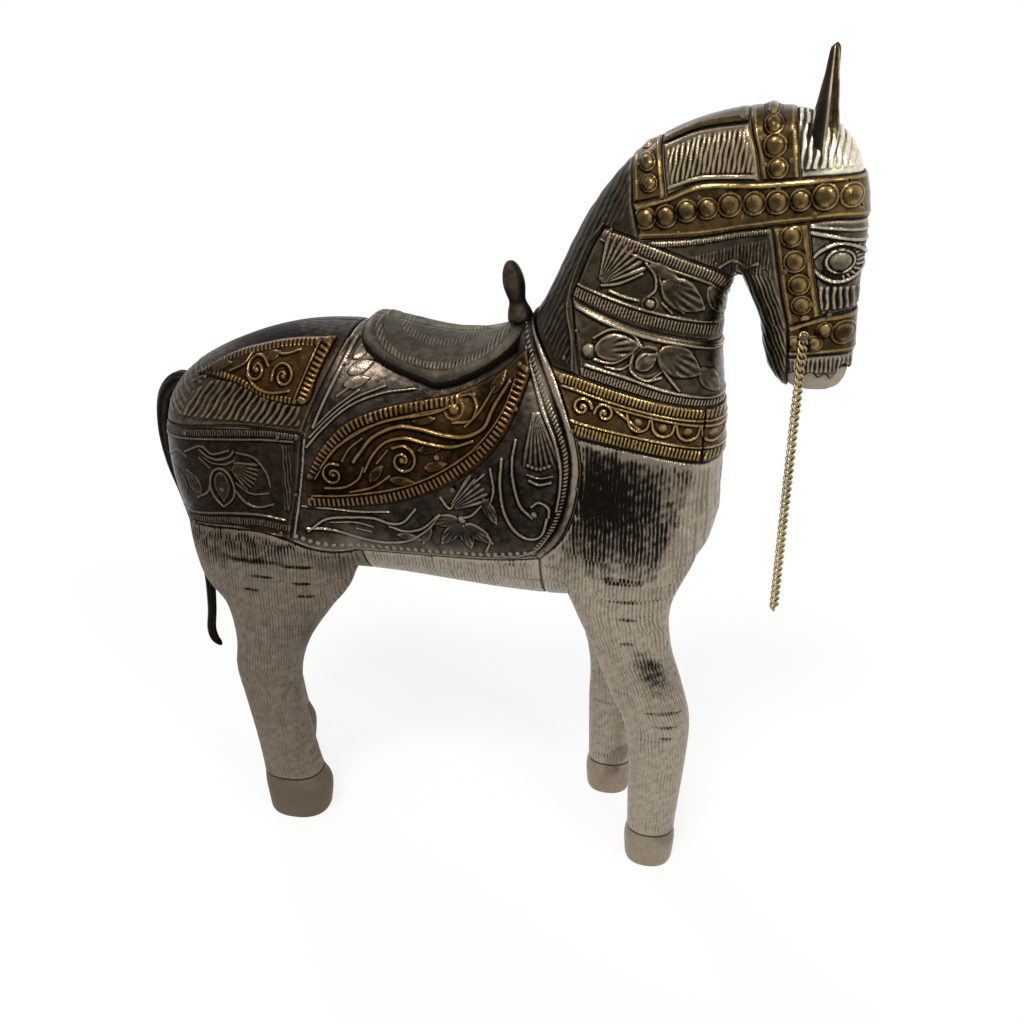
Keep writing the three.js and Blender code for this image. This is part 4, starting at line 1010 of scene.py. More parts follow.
upper_neck_work = chased(
    cord([(45, 226.9), (55.3, 223.7), (66.5, 219.6), (77.6, 215.2), (84, 210)], 3.6, 0.32, 1.0),
    cord([(43.4, 225.4), (54.5, 221.4), (65.6, 217.5), (76.6, 213.2), (84, 207)], 1.0, 0.42),
    shell(43.4, 212.4, 15.5, 18, 84, 8, 0.75, inner=0.1),
    cord([(44.6, 212.4), (50, 213.4), (56.5, 216.4)], 1.2, 0.5),
    petal((58.6, 219.2), (67.6, 214.8), 4.2, 0.6, rim=0.2),
    cord([(57.4, 219.6), (60.4, 216), (60.8, 212), (58.8, 209.8)], 1.1, 0.5),
    petal((62.6, 214.2), (75.6, 205.4), 9.4, 0.7, veins=2.2),
    cord([(61.4, 216.5), (64, 209.4), (69.6, 204.8)], 0.9, 0.4),
    boss(59.4, 207.6, 2.5, 0.55, rim=True), cord([(47, 211), (52, 209.4), (56, 208.6)], 1.0, 0.4),
    cord([(63, 208), (66.2, 204.9)], 0.8, 0.35), petal((76.4, 212.4), (81.6, 202.4), 5, 0.5, veins=1.9),
    cord([(36, 212), (44.6, 209.6), (56, 206.3), (68, 203.4), (80.5, 200.7)], 1.0, 0.42),
    cord([(35.2, 209.8), (44.5, 207.2), (56, 203.6), (68.4, 200.8), (80.5, 198.2)], 3.4, 0.32, 1.0),
)
lower_neck_work = chased(
    cord([(37, 205.3), (46, 201.9), (57.4, 198.2), (69.2, 195.5), (82, 192.3)], 1.5, 0.55),
    boss(41.7, 192.7, 2.3, 0.85), petal((43.4, 193.2), (57, 195.8), 8.6, 0.85, veins=2.0),
    cord([(43, 196.8), (48.5, 199.8), (54.6, 198.6), (57.6, 195)], 1.1, 0.5),
    cord([(43.5, 190.4), (49, 189.6), (53.4, 191.8), (57, 195.2)], 1.1, 0.5),
    boss(59.6, 190.4, 5.0, 0.6, rim=True, centre=0.5),
    petal((56.4, 188.2), (62.4, 192.8), 5.6, 0.7, veins=1.7),
    petal((63.2, 194.2), (75.8, 185.6), 9.6, 0.75, veins=2.2),
    cord([(62.4, 193.2), (64.2, 188.4), (69.8, 181.2)], 1.1, 0.5),
    cord([(55.4, 193.2), (54.8, 187.8), (59.4, 184.6), (64, 185.4)], 1.0, 0.45),
    cord([(60.6, 184.4), (64.4, 187.6)], 0.8, 0.4),
    cord([(47, 188.4), (51.5, 187.8), (54.4, 189.4)], 0.8, 0.35),
    petal((75.6, 187.6), (81.6, 178.8), 5, 0.5, veins=1.9),
    cord([(40.8, 188.4), (53.4, 185.4), (65.2, 181.4), (78, 178), (84, 176.6)], 1.2, 0.5),
    cord([(40, 186.3), (52.8, 183.2), (64.6, 179.4), (78, 176), (84, 174.6)], 2.8, 0.32, 0.95),
)
mane_work = chased(
    comb([(47, 262), (52, 249), (51.5, 231), (43, 227), (38, 218), (33.5, 206), (36.5, 193), (38.5, 186),
          (29, 189), (22, 199), (20, 206), (27, 225), (38, 243)], 1.5, 24, 0.22, fade=2.2),
    cord([(36.6, 186.5), (35.8, 195.6), (33.6, 206.5), (38, 221.4), (43.5, 229.8)], 1.1, 0.3),
)
mane_metal = metal("scored white metal", 0.15, 0.016, 0.005, tint=(1.0, 0.79, 0.52), rough=(0.3, 0.48))
NECK_TINT = (1.0, 0.77, 0.49)
neck_metal = metal("chased white metal of the neck", 0.34, 0.036, 0.007, tint=NECK_TINT)
throat_metal = metal("chased white metal of the throat", 0.30, 0.026, 0.007, tint=NECK_TINT, pale=0.27,
                     pale_top=0.190, pale_front=0.0755)
for name, side in SIDES:
    sheet(f"mane_sheet_{name}", MANE, side, mane_metal, [f"mane_plate_{name}"], facet=CHASED,
          work=mane_work)
    # A painted highlight down the front of each neck sheet, by the throat.
    sheet(f"upper_neck_sheet_{name}", UPPER_NECK, side, throat_metal,
          [f"upper_neck_plate_{name}"], facet=CHASED, work=upper_neck_work,
          tone=light_and_wear_spots((80, 208, 4.5, 8, 0.14)))
    sheet(f"lower_neck_sheet_{name}", LOWER_NECK, side, neck_metal,
          [f"lower_neck_plate_{name}"], facet=CHASED, work=lower_neck_work,
          tone=light_and_wear_spots((82, 188, 3.5, 9, 0.08)))

# The head sheets. The crown and the nape are fluted, the jaw is scored, and the face has an eye with its lids
# beaten up from behind. The muzzle sheet ends in a torn edge over the bare wood of the chin.
THROAT = [(67.4, 221.5), (78.1, 217), (84, 212.5), (88, 196), (91, 178)]
BROW_TOP = [(52.2, 236), (62.2, 238.6), (72, 242.6), (88.7, 243.3)]
BROW_TOP_FRONT = [(99.8, 244.5), (111, 245.6), (135, 246.5)]
BROW_LOW_FRONT = [(103.3, 232.5), (112, 233.5), (135, 232.7)]
NAPE_FRONT = [(58, 264), (59.6, 252.6), (62.2, 238.6)]
CREST_LOW = [(59.6, 252.6), (70.4, 257), (84.4, 259.4)]
POLL_REAR = [(83.5, 272), (84.4, 259.4), (86.9, 251.7), (88.7, 243.3)]
POLL_FRONT = [(97, 272), (98, 258), (99.8, 244.5)]
CHEEK_REAR = [(93.3, 230.9), (97.4, 212.1), (100.5, 201.3)]
CHEEK_FRONT = [(103.3, 232.5), (105.6, 221.6), (109.7, 205)]
NOSE_TOP = [(109.7, 205), (120.5, 206.2), (135, 206)]
NOSE_LOW = [(101.6, 191.1), (114, 192.8), (135, 193)]
MUZZLE_LOW = [
    (102, 185.2), (104.6, 186.6), (106.4, 185), (109, 186.6), (111.2, 184.8), (113.2, 186.2), (115, 184.6),
    (117.4, 187.4), (120, 188.2), (122, 187.4), (135, 189),
]
CROWN = outline(seam(POLL_FRONT), seam(BROW_TOP_FRONT), (135, 272))
NAPE = outline(seam(CREST_LOW), seam(POLL_REAR, 1), seam(BROW_TOP, 1)[::-1], seam(NAPE_FRONT, 1)[::-1])
FACE = outline(seam(CHEEK_FRONT)[::-1], seam(BROW_LOW_FRONT), seam(NOSE_TOP)[::-1])
JAW = outline(
    seam(BROW_LOW), seam(CHEEK_REAR), NOSE_LOW[0], MUZZLE_LOW[0], (103, 172), (91, 172), seam(THROAT)[::-1],
)
MUZZLE = outline(seam(NOSE_LOW), seam(MUZZLE_LOW)[::-1])
EYE = (113.4, 221.6)


def eyeball(u, v):
    """The ball of the eye in a ring."""
    far = np.hypot((u - EYE[0]) / 4.4, (v - EYE[1]) / 3.7)
    at = np.flatnonzero(far < 1)
    far = far[at]
    ring = 0.75 * np.sqrt(np.maximum(1 - ((far - 0.9) / 0.1) ** 2, 0))
    return at, np.maximum(1.1 * np.sqrt(np.maximum(1 - (far / 0.8) ** 2, 0)), ring)


def lash(angle):
    """A short line that points away from the eye."""
    cos, sin = math.cos(angle), math.sin(angle)
    ends = ((5.2, 4.6), (7.4, 6.4))
    return cord([(EYE[0] + wide * cos, EYE[1] + tall * sin) for wide, tall in ends], 0.8, 0.4)


HEAD_WORK = {
    "crown": chased(comb([(96, 270), (98, 246.5), (112, 247.5), (130, 248), (130, 272)], 2.05, 4, 0.5)),
    "nape": chased(
        comb([(60.6, 251), (70.6, 255.6), (83, 258), (85.6, 251), (87.4, 245.4), (72, 244.8), (63.2, 241.4)],
             1.4, 6, 0.42, fade=1.0),
        cord([(62.6, 240.9), (72, 244), (87, 244.6)], 1.4, 0.35)),
    "face": chased(
        eyeball,
        cord([(104.4, 221), (107.6, 224.6), (112.6, 226.7), (118.2, 225.4), (122.4, 221.6)], 1.4, 0.8),
        cord([(104.4, 221), (107.8, 217.4), (113, 215.4), (118.4, 217), (122.4, 221.6)], 1.3, 0.7),
        cord([(103.6, 229.8), (108.6, 229), (114.5, 227.9), (121.4, 226.9)], 1.3, 0.55),
        cord([(104, 231.4), (109.4, 231), (121.4, 230)], 1.0, 0.35),
        *(lash(angle) for angle in np.radians(range(-75, 46, 15))),
        comb([(107.4, 214.4), (109.2, 206.6), (121.8, 207.4), (121.8, 214)], 1.9, -4, 0.5),
        comb([(104.6, 220), (107, 215), (108.4, 208), (106.6, 214)], 1.2, 20, 0.3)),
    "jaw": chased(
        cord([(58, 224.6), (73, 225.9), (92.6, 229.5)], 1.3, 0.4, 0.75),
        comb([(69.4, 221.4), (92.6, 227.6), (94.8, 216), (84, 215.4), (78.4, 217.6)], 1.0, 0, 0.2),
        cord([(79, 218), (82.6, 219.8), (86.6, 218.2), (90, 219.6)], 1.5, 0.4),
        comb([(83, 216.6), (95, 216.6), (97.4, 210), (99.6, 203), (101.4, 193), (101.4, 180), (90, 180),
              (80, 214)], 1.2, -25, 0.28)),
}
# The crown's metal is set far lighter than the other sheets: a painted highlight over the top of the head.
lit_crown_metal = metal("fluted white metal of the crown, painted lit", 0.88, 0.30, 0.035, tint=(1.0, 0.90, 0.69), rise=-0.06,
                    high=0.12)
nape_metal = metal("fluted white metal of the nape", 0.34, 0.062, 0.012, tint=(1.0, 0.78, 0.48), rise=-0.06,
                   high=0.16)
face_metal = metal("chased white metal of the face", 0.42, 0.06, 0.009, tint=(1.0, 0.84, 0.59))
jaw_metal = metal("scored white metal of the jaw", 0.28, 0.030, 0.007, tint=(1.0, 0.80, 0.53))
# Spots of painted light and shade on the head: a painted highlight on top of the crown and on the jaw by the
# throat, painted shade on the crown beside the poll strap, and lighter and darker patches on the nape and
# face.
HEAD_TONES = {
    "crown": light_and_wear_spots((118, 250, 12, 8, 0.16), (101, 250, 3.5, 12, -0.1)),
    "nape": light_and_wear_spots((76, 252, 8, 5, 0.05)),
    "face": light_and_wear_spots((112, 211, 9, 5, -0.04), (120, 228, 5, 5, 0.06)),
    "jaw": light_and_wear_spots((88, 216, 6, 4, 0.14), level=-0.02),
}
for name, side in SIDES:
    for part, edge, material in (("crown", CROWN, lit_crown_metal), ("nape", NAPE, nape_metal),
                                 ("face", FACE, face_metal), ("jaw", JAW, jaw_metal)):
        sheet(f"{part}_sheet_{name}", edge, side, material, [f"{part}_plate_{name}"],
              facet=CHASED, work=HEAD_WORK[part], tone=HEAD_TONES[part])
sheet("muzzle_sheet", MUZZLE, 0, face_metal, ["muzzle_plate"], facet=CHASED, work=chased(
    comb([(103, 191), (114, 192), (123.5, 192.2), (123.5, 187.6), (103, 186)], 1.3, 0, 0.3),
    boss(118.4, 188.4, 1.5, -0.7)))

# The saddle cloth, one chased sheet on each flank. A rope edge runs down its front and ribs down its rear,
# with flowers, stems and fans between them and a dotted border along its foot.
CLOTH = outline(
    seam(CLOTH_FRONT), seam(CLOTH_FRONT_LOW), seam(CLOTH_LOW)[::-1], seam(CLOTH_REAR_LOW)[::-1],
    seam(CLOTH_REAR)[::-1],
)
SEAT = outline(seam([
    (-36.4, 206), (-36, 190.5), (-31.1, 185.2), (-24, 181.6), (-13.6, 178.2), (-6.7, 177),
    (3, 179.8), (11.9, 185), (17.8, 190.6), (19.6, 196), (17.5, 206),
]))


def beads(points, radius, height, pitch):
    """A row of small round punched dots along a curve."""
    path = spline(points, 4) if len(points) > 2 else np.asarray(points, float)

    def form(u, v):
        at, along, beside = near_path(u, v, path, radius)
        off = along - pitch * np.round(along / pitch)
        return at, height * np.sqrt(np.maximum(1 - (off**2 + beside**2) / radius**2, 0))
    return form


cloth_work = chased(
    cord([(21.4, 199), (27.6, 187.2), (31.8, 178.6), (36.8, 167.4), (39.1, 157), (37.9, 143.2), (34, 131.6),
          (28, 123)], 3.4, 0.75),
    cord([(18.6, 196.6), (24.2, 185.4), (28.6, 176.6), (33.6, 166.4), (36.2, 157), (35.2, 144.4),
          (31.8, 133.6), (26.4, 125.6)], 1.7, 0.35, 1.3, 0.5),
    cord([(20.4, 190.5), (24.2, 182), (28.2, 172.4), (32.2, 164), (34.4, 155.4), (34.4, 147.6),
          (33.4, 140.6)], 1.2, 0.5),
    shell(25.2, 175.5, 21, -100, -62, 7, 0.4, inner=0.15),
    beads([(24, 155.6), (27.5, 154.7), (31, 156)], 0.7, 0.35, 1.4),
    cord([(24.4, 150.6), (27.6, 149.4), (31.4, 150.4)], 1.1, 0.4),
    cord([(23.6, 152.6), (27.6, 151.6), (32, 152.6)], 0.8, 0.3),
    cord([(19.6, 163.4), (18.6, 156), (19.2, 149.4), (21.4, 141.6), (25.4, 137.4)], 1.1, 0.5),
    cord([(15.2, 157), (14.8, 148), (16, 139), (19.6, 132), (24.6, 129.3), (28.6, 131.4),
          (30.3, 137.4)], 1.2, 0.55),
    cord([(25.2, 141.4), (27.6, 143.2), (30.8, 141.4), (30.9, 138)], 1.0, 0.4), boss(26, 138.6, 1.2, 0.4),
    cord([(31, 131.5), (27, 125.6), (20.5, 122), (12, 121)], 1.1, 0.45),
    beads([(-57, 123.4), (-48, 120.6), (-36, 119.2), (-4, 120.3), (12, 121.6), (26, 124)], 0.9, 0.4, 2.6),
    cord([(-57.5, 121.6), (-49, 118.9), (-36, 117.6), (-4, 118.8), (13, 120), (26.5, 122)], 0.9, 0.3),
    cord([(-53, 126.3), (-47, 126.2), (-40.6, 124.4), (-33, 122.4), (-25.4, 121.9), (-17.4, 124),
          (-10.4, 129.4), (-6, 135.4)], 1.2, 0.55),
    cord([(-52.6, 125.4), (-46, 130), (-36.9, 131.4), (-29.2, 131.7), (-24, 130.2), (-19, 131.2),
          (-14.4, 136.6)], 1.2, 0.55),
    cord([(-24, 129), (-18.4, 127.6), (-12.2, 129.6), (-6.6, 135)], 1.1, 0.5),
    cord([(-54.4, 134.4), (-44, 134.2), (-34, 133.9), (-23.8, 134.8)], 0.9, 0.45),
    cord([(-45, 128.6), (-36, 129.4), (-30, 128.2)], 0.8, 0.35), cord([(-36, 127), (-31, 126)], 0.8, 0.3),
    petal((-21.6, 125.8), (-12.6, 124.6), 3.4, 0.45), petal((-9.4, 131), (-13, 122.6), 3.2, 0.45),
    shell(-3.5, 137, 16.5, 18, 62, 6, 0.55, inner=0.2),
    cord([(1.6, 135.2), (5, 136.4), (8.6, 140.4)], 1.1, 0.45),
    cord([(-5.4, 141.8), (-2.4, 138.2), (0.4, 142), (5, 147), (9.4, 151.4)], 0.9, 0.4),
    petal((0.6, 134.6), (-9.4, 132.4), 5, 0.5, veins=1.6), petal((1.2, 133.2), (-6, 124), 5, 0.55, veins=1.6),
    petal((2, 132.8), (4.4, 123.4), 5.4, 0.55, veins=1.6),
    petal((2.8, 133.2), (12.2, 126.2), 5.2, 0.55, veins=1.6),
    boss(1.6, 134.4, 1.6, 0.6), cord([(9.4, 122.6), (11, 126.8), (10.2, 130)], 1.0, 0.45),
    cord([(-40.4, 189), (-44, 181.4), (-48, 172.4), (-50.6, 165)], 1.8, 0.55),
    cord([(-37.4, 189.6), (-41.2, 180), (-45.4, 170.6), (-48.6, 163)], 1.5, 0.5),
    cord([(-51.8, 158.4), (-53.4, 146), (-56, 133), (-57.4, 124)], 1.1, 0.4),
    cord([(-51, 156.2), (-45, 163), (-36.4, 170.4), (-26, 174.8), (-14.6, 176.6)], 1.2, 0.5),
    cord([(-49.8, 159.6), (-43.6, 166), (-35, 172.8), (-25, 177)], 1.0, 0.4),
    cord([(-48, 163), (-41.6, 169.4), (-33.6, 175.4)], 0.9, 0.35),
    cord([(-40.6, 173.4), (-33.6, 178.6)], 0.9, 0.35),
    petal((-38.6, 176.6), (-30, 179.4), 3.8, 0.45, rim=0.2),
    petal((-37.6, 180.4), (-29.6, 184), 4, 0.45, rim=0.2),
    petal((-36.6, 184.4), (-31.8, 189.2), 3.4, 0.4, rim=0.2), boss(-39, 183.6, 1.2, 0.4),
    cord([(14, 166), (10.5, 159.4), (4, 152)], 0.9, 0.35),
    cord([(11.5, 153.4), (12.6, 146), (11, 140)], 1.0, 0.4),
    petal((9, 143.2), (13.6, 134), 4.2, 0.45, veins=1.5),
)
# Painted light on the cloth: a painted highlight down the upper front rim, painted shade lower on the rim,
# and lighter and darker patches elsewhere.
cloth_tone = light_and_wear_spots((28, 182, 5, 13, 0.26), (37.4, 162, 2.4, 16, 0.1), (36, 138, 4, 12, -0.08),
                    (21, 146, 13, 14, -0.06), (-36, 182, 10, 9, 0.15), (-25, 130, 30, 7, -0.03))
cloth_metal = metal("chased white metal of the cloth", 0.25, 0.015, 0.004, tint=(1.0, 0.79, 0.58),
                    blotch=0.25, pale=0.22, pale_top=0.123)


def beside_seat(p):
    """The cloth and the leaf end 2 mm under the edge of the seat."""
    return -within(SEAT, p[:, 0], p[:, 2]) - 2


for name, side in SIDES:
    sheet(f"saddle_cloth_{name}_sheet", CLOTH, side, cloth_metal, [f"saddle_cloth_{name}"],
          facet=CHASED, also=beside_seat, work=cloth_work, tone=cloth_tone)

# The saddle is carved as a pad on the back and covered by two sheets that meet along the middle. They are
# matt from handling, stand 4 mm above the cloth, and have two fine ribbed rows along their rolled edge.
seat_skins = {facet: surface([trunk], facet) for facet in (CHASED, BACKING)}
seat_metal = metal("rubbed white metal of the seat", 0.20, 0.055, 0.014, tint=(1.0, 0.85, 0.63),
                   rough=(0.42, 0.55), grit=0.3, blotch=0.5)
SEAT_ROWS = outline(seam([
    (-33, 208), (-32.4, 194), (-28.4, 188), (-20.4, 183.6), (-8, 181.4), (3, 183.4), (11, 188), (15.6, 195),
    (15, 208),
]))


def padding(u, v, points, inner):
    """The swell of the pad, with ribbed rows that run round inside its edge."""
    high = 0.1 + 3.7 * np.sqrt(1 - (1 - ease(-1.0, 3.4, inner)) ** 2)
    ring = -within(SEAT_ROWS, u, v)
    for row, wide, tall in ((0, 1.7, 0.3), (4.6, 1.3, 0.24), (8.6, 1.1, 0.18)):
        across = np.abs(ring - row) / (wide / 2)
        rib = 0.5 + 0.5 * np.cos(2 * np.pi * u / 1.25)
        high += np.where(across < 1, tall * np.sqrt(np.maximum(1 - across**2, 0)) * (0.3 + 0.7 * rib), 0)
    curl = 0.1 * np.cos(2 * np.pi * np.hypot(u + 9, (np.abs(points[:, 1]) - 4) * 1.2) / 3.4)
    return high + curl * ease(10, 12, ring)


for name, side in SIDES:
    sheet(f"seat_sheet_{name}", SEAT, side, seat_metal, [f"saddle_seat_{name}"], facet=CHASED,
          work=padding, source=seat_skins, roll=0, thick=1.2)

# The brass leaf on the cloth and the crupper strap behind it, laid over the white metal and nailed
# through it. Both have a ladder border, with stems and scrolls inside.
leaf_brass = metal("old brass of the leaf", 0.19, 0.010, 0.004, tint=(1.0, 0.59, 0.22), rough=(0.16, 0.3),
                   grit=0.14)
crupper_brass = metal("old brass of the crupper", 0.20, 0.030, 0.005, tint=(1.0, 0.57, 0.20),
                      rough=(0.16, 0.3), grit=0.14)
LEAF_TOP = [
    (-51.8, 146), (-46, 156.5), (-37.8, 165.2), (-26.1, 170.6), (-13, 173.6), (0, 176.6), (12.4, 183),
    (21.4, 190.5),
]
LEAF_LOW = [
    (23.4, 184), (20.2, 173.5), (15, 162.4), (6.5, 152.8), (-6, 144.4), (-20, 138.8), (-37, 135.4),
    (-52.6, 134.4),
]
CRUPPER_TOP = [(-95.3, 174.6), (-80, 183), (-68.8, 186.6), (-57.9, 188.8), (-43.4, 190)]
CRUPPER_LOW = [(-44.6, 186.5), (-47.6, 178.4), (-51, 170), (-64.1, 170.6), (-76, 174.2), (-86, 174.9)]
LEAF = outline(seam(LEAF_TOP), seam(LEAF_LOW))
CRUPPER = outline(seam(CRUPPER_TOP), seam(CRUPPER_LOW))


def scroll(x, z, radius, start, turns, width, height):
    """A line that coils in to a small boss. Turns are negative for a clockwise coil."""
    t = np.linspace(0, 1, 26)
    angle = np.radians(start) + 2 * np.pi * turns * t
    reach = radius * (1 - 0.82 * t)
    line = cord(np.stack([x + reach * np.cos(angle), z + reach * np.sin(angle)], -1)[::2], width, height)
    eye = boss(x, z, radius * 0.24, height)

    def form(u, v):
        (a, high_a), (b, high_b) = line(u, v), eye(u, v)
        return np.concatenate([a, b]), np.concatenate([high_a, high_b])
    return form


leaf_work = chased(
    cord([(-50, 146.6), (-44.6, 155), (-36.6, 163.2), (-25.4, 168.4), (-13, 171.4),
          (0, 174.2)], 3.4, 0.35, 1.7),
    cord([(-48.4, 145.6), (-43, 153.6), (-35.4, 161.2), (-24.8, 166.2), (-12.6, 169.2),
          (-1, 171.8)], 0.9, 0.4),
    cord([(20.8, 184), (17.9, 174.6), (12.9, 164.3), (4.8, 155.2), (-7.2, 147), (-20.8, 141.3),
          (-37.4, 137.9), (-51, 136.8)], 3.4, 0.35, 1.7),
    cord([(18.2, 181), (15.6, 173), (10.6, 164.8), (3.2, 157), (-8.4, 149.2), (-21.6, 143.7), (-38, 140.2),
          (-50, 139.2)], 0.9, 0.4),
    cord([(-46.2, 149.6), (-40, 157.3), (-29.2, 164.2), (-21.5, 167), (-12.3, 168.6), (-6.2, 170.2),
          (-2.6, 172)], 1.3, 0.55),
    cord([(-34.6, 152.6), (-31.8, 156.4), (-27.7, 161.2), (-20, 164.8), (-12.3, 164.6), (-4.6, 163.2),
          (3.1, 163.2), (9.2, 166.5), (12, 172.7), (16.6, 180.4)], 1.8, 0.65),
    cord([(-31, 149.4), (-27.8, 155.4), (-23.4, 159.8), (-16.9, 161.4), (-10, 160.2), (-1.5, 159.7),
          (5.6, 162)], 1.3, 0.55),
    scroll(-17.8, 154, 5.2, 130, -1.5, 1.2, 0.55), boss(-6.2, 155.8, 1.9, 0.5, rim=True),
    petal((-12.6, 157.8), (-4.4, 159.2), 3, 0.4), petal((-10.4, 152), (-2.6, 154.2), 3.4, 0.4),
    cord([(-0.6, 154), (4, 157.6), (8.4, 160.6)], 1.0, 0.4),
    cord([(3, 166.4), (7.2, 170.8), (11.8, 178.4)], 1.2, 0.45),
    boss(-1.2, 171.2, 3.4, 0.6, rim=True, centre=0.5),
    cord([(0.6, 175), (4.4, 175.6), (6.4, 172.2), (4.6, 168.2), (-1, 167.2)], 1.1, 0.45),
    petal((-14.6, 166.8), (-7, 168), 2.8, 0.35), petal((-21, 169.6), (-12.4, 171), 2.4, 0.3),
    scroll(-42, 147.4, 4.2, 60, 1.4, 1.1, 0.5),
    cord([(-45, 142.4), (-38.4, 143.2), (-33.4, 146.4), (-31.4, 150.6)], 1.1, 0.45),
    cord([(-36.4, 141.6), (-28.4, 144), (-22.4, 148.4)], 1.0, 0.4),
    petal((-29.4, 146), (-24.6, 152), 3.4, 0.4),
    petal((-22.4, 147.2), (-13.4, 146.8), 3.2, 0.4), cord([(-26.6, 152.6), (-23, 157)], 0.9, 0.35),
    petal((10.6, 176.4), (15.2, 183.4), 3.4, 0.4),
    cord([(-38.6, 152.4), (-36, 156.8), (-31.6, 160.4)], 0.9, 0.4),
)
crupper_work = chased(
    cord([(-46.4, 187.8), (-49, 180.4), (-52.2, 171.6)], 3.4, 0.4, 1.55),
    cord([(-49, 188), (-51.4, 180.6), (-54.8, 171.8)], 0.9, 0.4),
    cord([(-55, 170.9), (-64.6, 171.9), (-76, 175.4), (-86.6, 176.4)], 2.2, 0.3, 1.5),
    cord([(-93, 175.4), (-80, 181.4), (-69, 185), (-58, 187.2), (-50, 187.8)], 2.0, 0.3, 1.5),
    scroll(-59.4, 178, 4.2, 200, -1.5, 1.2, 0.55), scroll(-69.4, 179, 4.4, 20, 1.5, 1.2, 0.55),
    cord([(-72.6, 177.2), (-68.6, 174), (-63.4, 172.8), (-57, 173.8)], 1.2, 0.5),
    cord([(-79.4, 177.6), (-74.6, 180), (-72.4, 183.2)], 1.2, 0.5),
    petal((-88, 177.4), (-79.6, 179.8), 3.2, 0.45),
    cord([(-63.8, 184.4), (-60, 184), (-54.6, 185.6)], 1.0, 0.4),
    petal((-66.6, 182.2), (-61.6, 184.6), 2.8, 0.4),
)
for name, side in SIDES:
    # A painted highlight on the leaf's large boss and painted shade on its lower rear part; the rear end of
    # the crupper is made darker.
    sheet(f"leaf_{name}", LEAF, side, leaf_brass, [f"saddle_leaf_{name}"], facet=CHASED,
          rise=1.0, thick=0.7, also=beside_seat, work=leaf_work,
          tone=light_and_wear_spots((-1, 172, 7, 5, 0.14), (-44, 143, 16, 9, -0.07)))
    sheet(f"crupper_strap_{name}", CRUPPER, side, crupper_brass, [f"crupper_{name}"],
          facet=CHASED, rise=1.0, thick=0.7, work=crupper_work, tone=light_and_wear_spots((-90, 177, 14, 8, -0.08)))

# The brass straps of the bridle and the breast band, beaten from behind into rows of round bosses. The brow,
# nape, poll and nose straps pass right over the head, the cheek straps hang from the brow band.
CHEEK = outline(seam(CHEEK_FRONT), seam(CHEEK_REAR)[::-1])
BREAST = outline(CLOTH_FRONT[2], seam(BREAST_TOP), seam(BREAST_LOW)[::-1], CLOTH_FRONT[3])
STRAPS = {
    "brow_band": (
        outline(seam(BROW_TOP), seam(BROW_TOP_FRONT), seam(BROW_LOW_FRONT)[::-1], seam(BROW_LOW)[::-1]),
        ((56.4, 232.2, 3.2), (62.4, 233, 3.4), (68.4, 234.8, 3.3), (74.2, 235.6, 3.2), (80.6, 236.8, 3.6),
         (87.6, 237.4, 3.4), (94, 238, 3.5), (100.4, 238.8, 3.2), (107, 239.8, 3.8), (114.4, 240.2, 3.5)),
        (cord([(54, 234.8), (62.6, 237.4), (72.6, 241.4), (88.7, 242), (100, 243.2), (111, 244.4),
               (123, 245)], 1.2, 0.22),
         cord([(56, 227.4), (73, 228.9), (93, 232.4), (103.4, 234), (112, 235), (123, 234.6)], 1.0, 0.18),
         cord([(113, 244.4), (115, 241), (117.6, 236.9)], 0.5, -0.5))),
    "nape_strap": (
        outline(seam(NAPE_REAR), seam(NAPE_FRONT)[::-1]),
        ((57, 241.8, 2.5), (55.9, 247.4, 2.5), (54.6, 253, 2.5)),
        (cord([(49, 260), (52, 249), (53.6, 237.6)], 0.9, 0.18),
         cord([(57.4, 262), (58.4, 252), (60.8, 239.4)], 0.9, 0.18))),
    "mane_strip": (
        outline(NAPE_FRONT[0], seam(CREST_LOW), POLL_REAR[0]),
        (),
        (cord([(60.4, 254.2), (70.6, 258.4), (84.6, 260.8)], 0.9, 0.15),
         comb([(61, 255.5), (71, 259.6), (84, 262), (84, 270), (58, 270)], 2.4, 0, 0.25))),
    "poll_strap": (
        outline(seam(POLL_REAR), seam(POLL_FRONT)[::-1]),
        ((93.2, 247.2, 3), (91.9, 253.2, 3.3), (91.2, 258.6, 2.7), (90.6, 262.4, 2.2)),
        (cord([(85.6, 262), (86.4, 257), (88.8, 249.6), (90, 244.6)], 1.0, 0.15),
         cord([(96, 264), (96.6, 256.6), (98.6, 245.2)], 1.0, 0.15))),
    "nose_band": (
        outline(CHEEK_REAR[2], seam(NOSE_TOP), seam(NOSE_LOW)[::-1]),
        ((103.2, 196.4, 2.5), (108.6, 196.6, 2.6), (111.2, 201, 2.4), (116.9, 200, 3.8)),
        (cord([(101.6, 192.6), (114, 194.2), (123.5, 194.3)], 1.1, 0.2),
         cord([(101.8, 200.4), (109.8, 203.6), (120.5, 204.8), (123.5, 204.7)], 0.9, 0.15))),
}
CHEEK_BOSSES = ((98.9, 228.6, 3.2), (100.6, 221.4, 3.3), (102.4, 214.6, 3.2), (103.8, 208.4, 3.0))


def embossed(bosses, *lines):
    """Lines, and a row of domed bosses with a ring round each."""
    return chased(*lines, *(boss(x, z, r, 0.95, rim=True, centre=0.84) for x, z, r in bosses))


def painted_boss_light(bosses, tone):
    """Bosses painted dark in the middle and light along their lower edges: a painted reflection and a painted
    highlight.
    """
    def both(u, v):
        level = tone(u, v)
        for x, z, r in bosses:
            across, up = (u - x) / r, (v - z) / r
            level = level - 0.15 * np.exp(-((across + 0.08) ** 2 + (up - 0.12) ** 2) / 0.22)
            level = level + 0.14 * np.exp(-((across - 0.15) / 0.6) ** 2 - (up + 0.66) ** 2 / 0.05)
        return level
    return both


